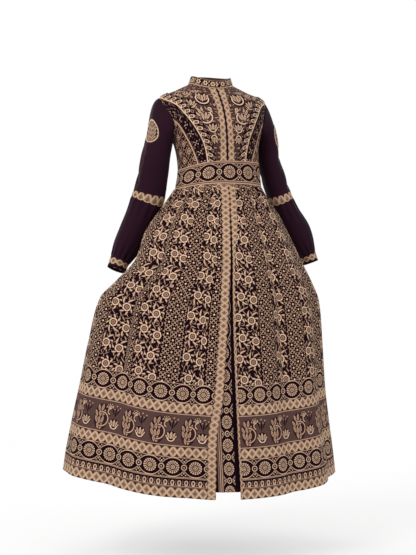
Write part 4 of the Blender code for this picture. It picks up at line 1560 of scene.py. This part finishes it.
def make_collar():
    around = lengths_along(neck_collar, lambda t: (360 * t, 0.5), 90)
    sheet("collar", neck_collar,
          lambda u, v: (COLLAR_SPLIT + (360 - 2 * COLLAR_SPLIT) * u, v),
          lambda u, v: (read_at(around, u), v * COLLAR_HEIGHT), 120, 8, ["collar_cloth"])


def make_belt():
    around = lengths_along(torso, lambda t: (360 * t - 180, (BELT_BOTTOM + BELT_TOP) / 2), 120)
    height = (torso(0, BELT_TOP) - torso(0, BELT_BOTTOM)).length
    sheet("waistband", torso,
          lambda u, v: (360 * u - 180, BELT_BOTTOM + (BELT_TOP - BELT_BOTTOM) * v),
          lambda u, v: (read_at(around, u) - around[60], (v - 0.5) * height), 200, 14, ["belt"],
          tube=True, wall=BELT_WALL)


def hem_rows(total):
    """Heights above the hem in metres, with rows where the hem's bands meet."""
    starts = [band.start / 1000 for band in HEM_BANDS] + [total]
    heights = [0.0]
    for low, high, band in zip(starts, starts[1:], HEM_BANDS):
        heights += [low + (high - low) * (i + 1) / band.rows for i in range(band.rows)]
    return heights


SKIRT_FINISHES = ["stripes", "hem_braid", "hem_line", "hem_drops", "hem_medallions", "hem_birds"]
# The height where the width on the cloth is measured, and where the pattern starts at the front edges
PATTERN_Z = -1.114
PATTERN_START_LEFT = 0.107
PATTERN_START_RIGHT = -0.049

# How far the right panels' border starts from the left ones' in its repeat, in metres
RIGHT_SHIFTS = {"hem_birds": 0.031, "hem_medallions": 0.013, "hem_braid": 0.006}

# Steps up a column and of the table of how the cloth lies, and columns over which gathers even out
COLUMN_STEPS = 64
SKIRT_COLUMNS = 144
LAY_STEP = 6
GATHER_COLUMNS = 10


def at_turn(turn):
    return lambda v: (turn, skirt_height(v))


def make_skirt():
    """Two panels on each side. The back one's pattern goes on from what the front one has reached."""
    reached = {-1: (PATTERN_START_LEFT, PATTERN_START_LEFT), 1: (PATTERN_START_RIGHT, PATTERN_START_RIGHT)}
    for name, first, last, side in (
        ("skirt_front_left", left_edge, at_turn(-90), -1),
        ("skirt_front_right", right_edge, at_turn(90), 1),
        ("skirt_back_left", at_turn(-90), at_turn(-180), -1),
        ("skirt_back_right", at_turn(90), at_turn(180), 1),
    ):
        lines, across, border = skirt_lines(between(first, last), side, *reached[side])
        reached[side] = across[-1], border[-1]
        make_skirt_panel(name, side, lines, across, border)
    make_skirt_braids()


def skirt_lines(whole, side, across_start, border_start):
    """A panel's columns, with their distance round the skirt with and without the cloth hidden in folds."""
    lines, across, border = [], [across_start], [border_start]
    before = None
    for j in range(SKIRT_COLUMNS + 1):
        share = j / SKIRT_COLUMNS
        lines.append(skirt_column(lambda v: whole(share, v)))
        here = whole(share, (PATTERN_Z - HEM) / (WAIST_SEAM - HEM))
        if before:
            gone = (skirt(*here) - skirt(*before)).length
            border.append(border[-1] + side * gone)
            across.append(across[-1] + side * (gone + hidden_cloth(before[0], here[0])))
        before = here
    return lines, across, border


def make_skirt_panel(name, side, lines, across, border):
    lays = lay_table(lines, border, side)

    def height_at(u, v):
        return lines[round(u * SKIRT_COLUMNS)][1][round(v * SKIRT_ROWS)]

    def plan(u, v):
        return lines[round(u * SKIRT_COLUMNS)][0][round(v * SKIRT_ROWS)]

    def cloth_place(u, v):
        return across[round(u * SKIRT_COLUMNS)], height_at(u, v)

    def border_place(u, v, finish):
        shift = RIGHT_SHIFTS.get(finish, 0.0) if side > 0 else 0.0
        return border[round(u * SKIRT_COLUMNS)] + shift, height_at(u, v)

    def lay_of(u, v):
        place = u * (len(lays) - 1)
        low = min(int(place), len(lays) - 2)
        share = place - low
        return tuple(
            read_at([lay[part] for lay in lays[low]], v) * (1 - share)
            + read_at([lay[part] for lay in lays[low + 1]], v) * share
            for part in (0, 1)
        )

    sheet(name, skirt, plan, cloth_place, SKIRT_COLUMNS, SKIRT_ROWS, SKIRT_FINISHES,
          fullness=SKIRT_FULLNESS, band=band_at, border_place=border_place, lay_of=lay_of)


def skirt_column(column):
    """The places up one column of the skirt's grid, at the heights on the cloth of its rows."""
    climbed = lengths_along(skirt, column, COLUMN_STEPS)
    heights = hem_rows(climbed[-1])
    places = []
    step = 0
    for height in heights:
        while step < COLUMN_STEPS - 1 and climbed[step + 1] < height:
            step += 1
        share = (height - climbed[step]) / (climbed[step + 1] - climbed[step])
        places.append(column(min((step + share) / COLUMN_STEPS, 1.0)))
    return places, heights


def lay_table(lines, border, side):
    """How the cloth lies at even places: the share of its width that shows, and the lean of its columns."""
    columns, rows = len(lines) - 1, len(lines[0][0]) - 1
    table = []
    for j in range(0, columns + 1, LAY_STEP):
        before, after = max(j - GATHER_COLUMNS, 0), min(j + GATHER_COLUMNS, columns)
        lays = []
        for i in range(0, rows + 1, LAY_STEP):
            sideways = (skirt(*lines[after][0][i]) - skirt(*lines[before][0][i])) * side
            upwards = skirt(*lines[j][0][min(i + 1, rows)]) - skirt(*lines[j][0][max(i - 1, 0)])
            shown = sideways.length / abs(border[after] - border[before])
            lays.append((shown, sideways.normalized().dot(upwards.normalized())))
        table.append(lays)
    return table


def band_at(v):
    """Which finish a row of the skirt has."""
    row = int(v * SKIRT_ROWS)
    for band in HEM_BANDS:
        if row < band.rows:
            return SKIRT_FINISHES.index(band.name)
        row -= band.rows
    return 0


def hidden_cloth(start, end):
    """The cloth tucked away in the deep folds between two turns."""
    total = 0.0
    for tuck in TUCKS:
        first = ease((start - tuck.turn) / tuck.spread + 0.5)
        last = ease((end - tuck.turn) / tuck.spread + 0.5)
        total += abs(last - first) * tuck.cloth
    return total


def make_skirt_braids():
    left_start, right_start = below_seam(left_edge), below_seam(right_edge)
    left_braid = moved_round(skirt, left_start, -SKIRT_BRAID_WIDTH)
    strip("skirt_braid_left", skirt, left_start, left_braid, SKIRT_BRAID_WIDTH, 240,
          "skirt_edge", 6, lift=OVERLAY, centred=False)
    right_braid = moved_round(skirt, right_start, right_braid_width)
    strip("skirt_braid_right", skirt, right_start, right_braid, RIGHT_BRAID_FULL, 240,
          "skirt_edge", 6, lift=OVERLAY, centred=False)


def make_underlay():
    short = UNDERLAY_ABOVE_HEM / (WAIST_SEAM - HEM)

    def edge(width):
        def side_line(v):
            z = skirt_height(short + (1 - short) * v)
            near_waist = ease((WAIST_SEAM - z) / UNDERLAY_WIDENS_OVER)
            near_waist = UNDERLAY_AT_WAIST + (1 - UNDERLAY_AT_WAIST) * near_waist
            return width * near_waist / slopes(skirt, 0, z)[0].length, z
        return side_line

    def behind(turn, z):
        outward = Vector((math.sin(math.radians(turn)), -math.cos(math.radians(turn)), 0))
        sink = WALL + SEAM + (UNDERLAY_DEPTH - WALL - SEAM) * ease((WAIST_SEAM - z) / UNDERLAY_SINKS_OVER)
        return skirt(turn, z) - outward * sink

    plan = between(edge(-UNDERLAY_LEFT), edge(UNDERLAY_RIGHT))
    along = lengths_along(behind, lambda t: plan(0.7, t), 100)
    sheet("skirt_underlay", behind, plan,
          lambda u, v: (-UNDERLAY_LEFT + (UNDERLAY_LEFT + UNDERLAY_RIGHT) * u, read_at(along, v)), 24, 120,
          ["underlay"])


def make_sleeve(side_name):
    ground = sleeve_of(side_name)

    def stretch(name, start, end, columns, steps, finish, wall=WALL, fullness=1.0):
        def plan(u, v):
            return 360 * u - 180, end + (start - end) * v

        around = lengths_along(ground, lambda t: plan(t, 0.5), 60)[-1]
        along = lengths_along(ground, lambda t: plan(0.5, t), 60)
        half = along[-1] / 2
        sheet(f"{name}_{side_name}", ground, plan,
              lambda u, v: ((u - 0.5) * around, read_at(along, v) - half), columns, steps, [finish],
              tube=True, facing=SIDES[side_name], wall=wall, fullness=fullness)

    stretch("sleeve_upper", 0.0, ELBOW_TOP, 120, 90, "upper_crepe")
    stretch("elbow_braid", ELBOW_TOP, ELBOW_BOTTOM, 96, 6, "elbow_braid",
            wall=BELT_WALL)
    stretch("sleeve_lower", ELBOW_BOTTOM, CUFF_TOP, 168, 70, "plain_crepe",
            fullness=SLEEVE_FULLNESS)
    stretch("cuff_braid", CUFF_TOP, CUFF_BOTTOM, 96, 6, "cuff_braid", wall=BELT_WALL)


def make_patch(side_name):
    ground = sleeve_of(side_name)
    along_turn, along_reach = slopes(ground, PATCH_TURN, PATCH_REACH)
    half_turn = PATCH_WIDTH / 2 / along_turn.length
    half_reach = PATCH_HEIGHT / 2 / along_reach.length

    def plan(u, v):
        x, y = 2 * u - 1, 2 * v - 1
        turn = PATCH_TURN + half_turn * x * math.sqrt(1 - y * y / 2)
        return turn, PATCH_REACH - half_reach * y * math.sqrt(1 - x * x / 2)

    def cloth_place(u, v):
        x, y = 2 * u - 1, 2 * v - 1
        across = PATCH_WIDTH / 2 * x * math.sqrt(1 - y * y / 2)
        return across, PATCH_HEIGHT / 2 * y * math.sqrt(1 - x * x / 2)

    sheet(f"sleeve_patch_{side_name}", ground, plan, cloth_place, 24, 24,
          ["patch_leaves"], lift=OVERLAY, wall=BRAID_WALL, facing=SIDES[side_name])


def make_floor():
    """A plain pale floor that fades into the white around it."""
    mesh = bpy.data.meshes.new("floor")
    disc = bmesh.new()
    bmesh.ops.create_circle(disc, cap_ends=True, segments=96, radius=FLOOR_FADE_TO + 0.2)
    bmesh.ops.translate(disc, verts=disc.verts[:], vec=(0, 0, FLOOR_Z))
    disc.to_mesh(mesh)
    disc.free()
    floor = bpy.data.objects.new("floor", mesh)
    bpy.context.scene.collection.objects.link(floor)
    material = bpy.data.materials.new("pale floor")
    material.use_nodes = True
    tree = material.node_tree
    shader = tree.nodes["Principled BSDF"]
    shader.inputs["Base Color"].default_value = (FLOOR_WHITE, FLOOR_WHITE, FLOOR_WHITE, 1)
    shader.inputs["Roughness"].default_value = 0.9
    place = tree.nodes.new("ShaderNodeTexCoord")
    split = tree.nodes.new("ShaderNodeSeparateXYZ")
    tree.links.new(place.outputs["Object"], split.inputs[0])
    reach = away(Number(split.outputs[0]), Number(split.outputs[1]))
    shown = worked("MULTIPLY_ADD", reach, -1 / (FLOOR_FADE_TO - FLOOR_FADE_FROM),
                   FLOOR_FADE_TO / (FLOOR_FADE_TO - FLOOR_FADE_FROM), clamp=True)
    feed(shader.inputs["Alpha"], shown * FLOOR_STRENGTH)
    mesh.materials.append(material)


def make_light():
    scene = bpy.context.scene
    world = bpy.data.worlds.new("studio")
    world.use_nodes = True
    scene.world = world
    tree = world.node_tree
    back = tree.nodes["Background"]
    back.inputs["Color"].default_value = (1, 1, 1, 1)
    path = tree.nodes.new("ShaderNodeLightPath")
    seen = Number(path.outputs["Is Camera Ray"])
    feed(back.inputs["Strength"], seen * (SKY_SHOWN - SKY_LIGHT) + SKY_LIGHT)
    for lamp in LAMPS:
        data = bpy.data.lights.new(lamp.name, "AREA")
        data.shape = "SQUARE"
        data.size = lamp.size
        data.energy = lamp.power
        light = bpy.data.objects.new(lamp.name, data)
        turn = math.radians(lamp.turn)
        light.location = (lamp.reach * math.sin(turn), -lamp.reach * math.cos(turn), lamp.height)
        aim = Vector(LAMP_AIM) - light.location
        light.rotation_euler = aim.to_track_quat("-Z", "Y").to_euler()
        scene.collection.objects.link(light)


def make_camera():
    scene = bpy.context.scene
    data = bpy.data.cameras.new("camera")
    data.sensor_fit = "VERTICAL"
    data.sensor_height = SENSOR_HEIGHT
    data.lens = CAMERA_LENS
    data.dof.use_dof = False
    camera = bpy.data.objects.new("camera", data)
    turn = math.radians(CAMERA_TURN)
    back = Vector((math.sin(turn), -math.cos(turn), 0))
    right = Vector((math.cos(turn), math.sin(turn), 0))
    aim = Vector((0, 0, CAMERA_HEIGHT)) + right * CAMERA_ASIDE
    camera.location = aim + back * CAMERA_DISTANCE
    camera.rotation_euler = (-back).to_track_quat("-Z", "Y").to_euler()
    scene.collection.objects.link(camera)
    scene.camera = camera
    scene.view_settings.view_transform = "Standard"


make_camera()
make_light()
make_floor()
make_collar()
for name, side in SIDES.items():
    make_bodice(name, side)
make_back()
make_belt()
make_skirt()
make_underlay()
for name in SIDES:
    make_sleeve(name)
for name in SIDES:
    make_patch(name)
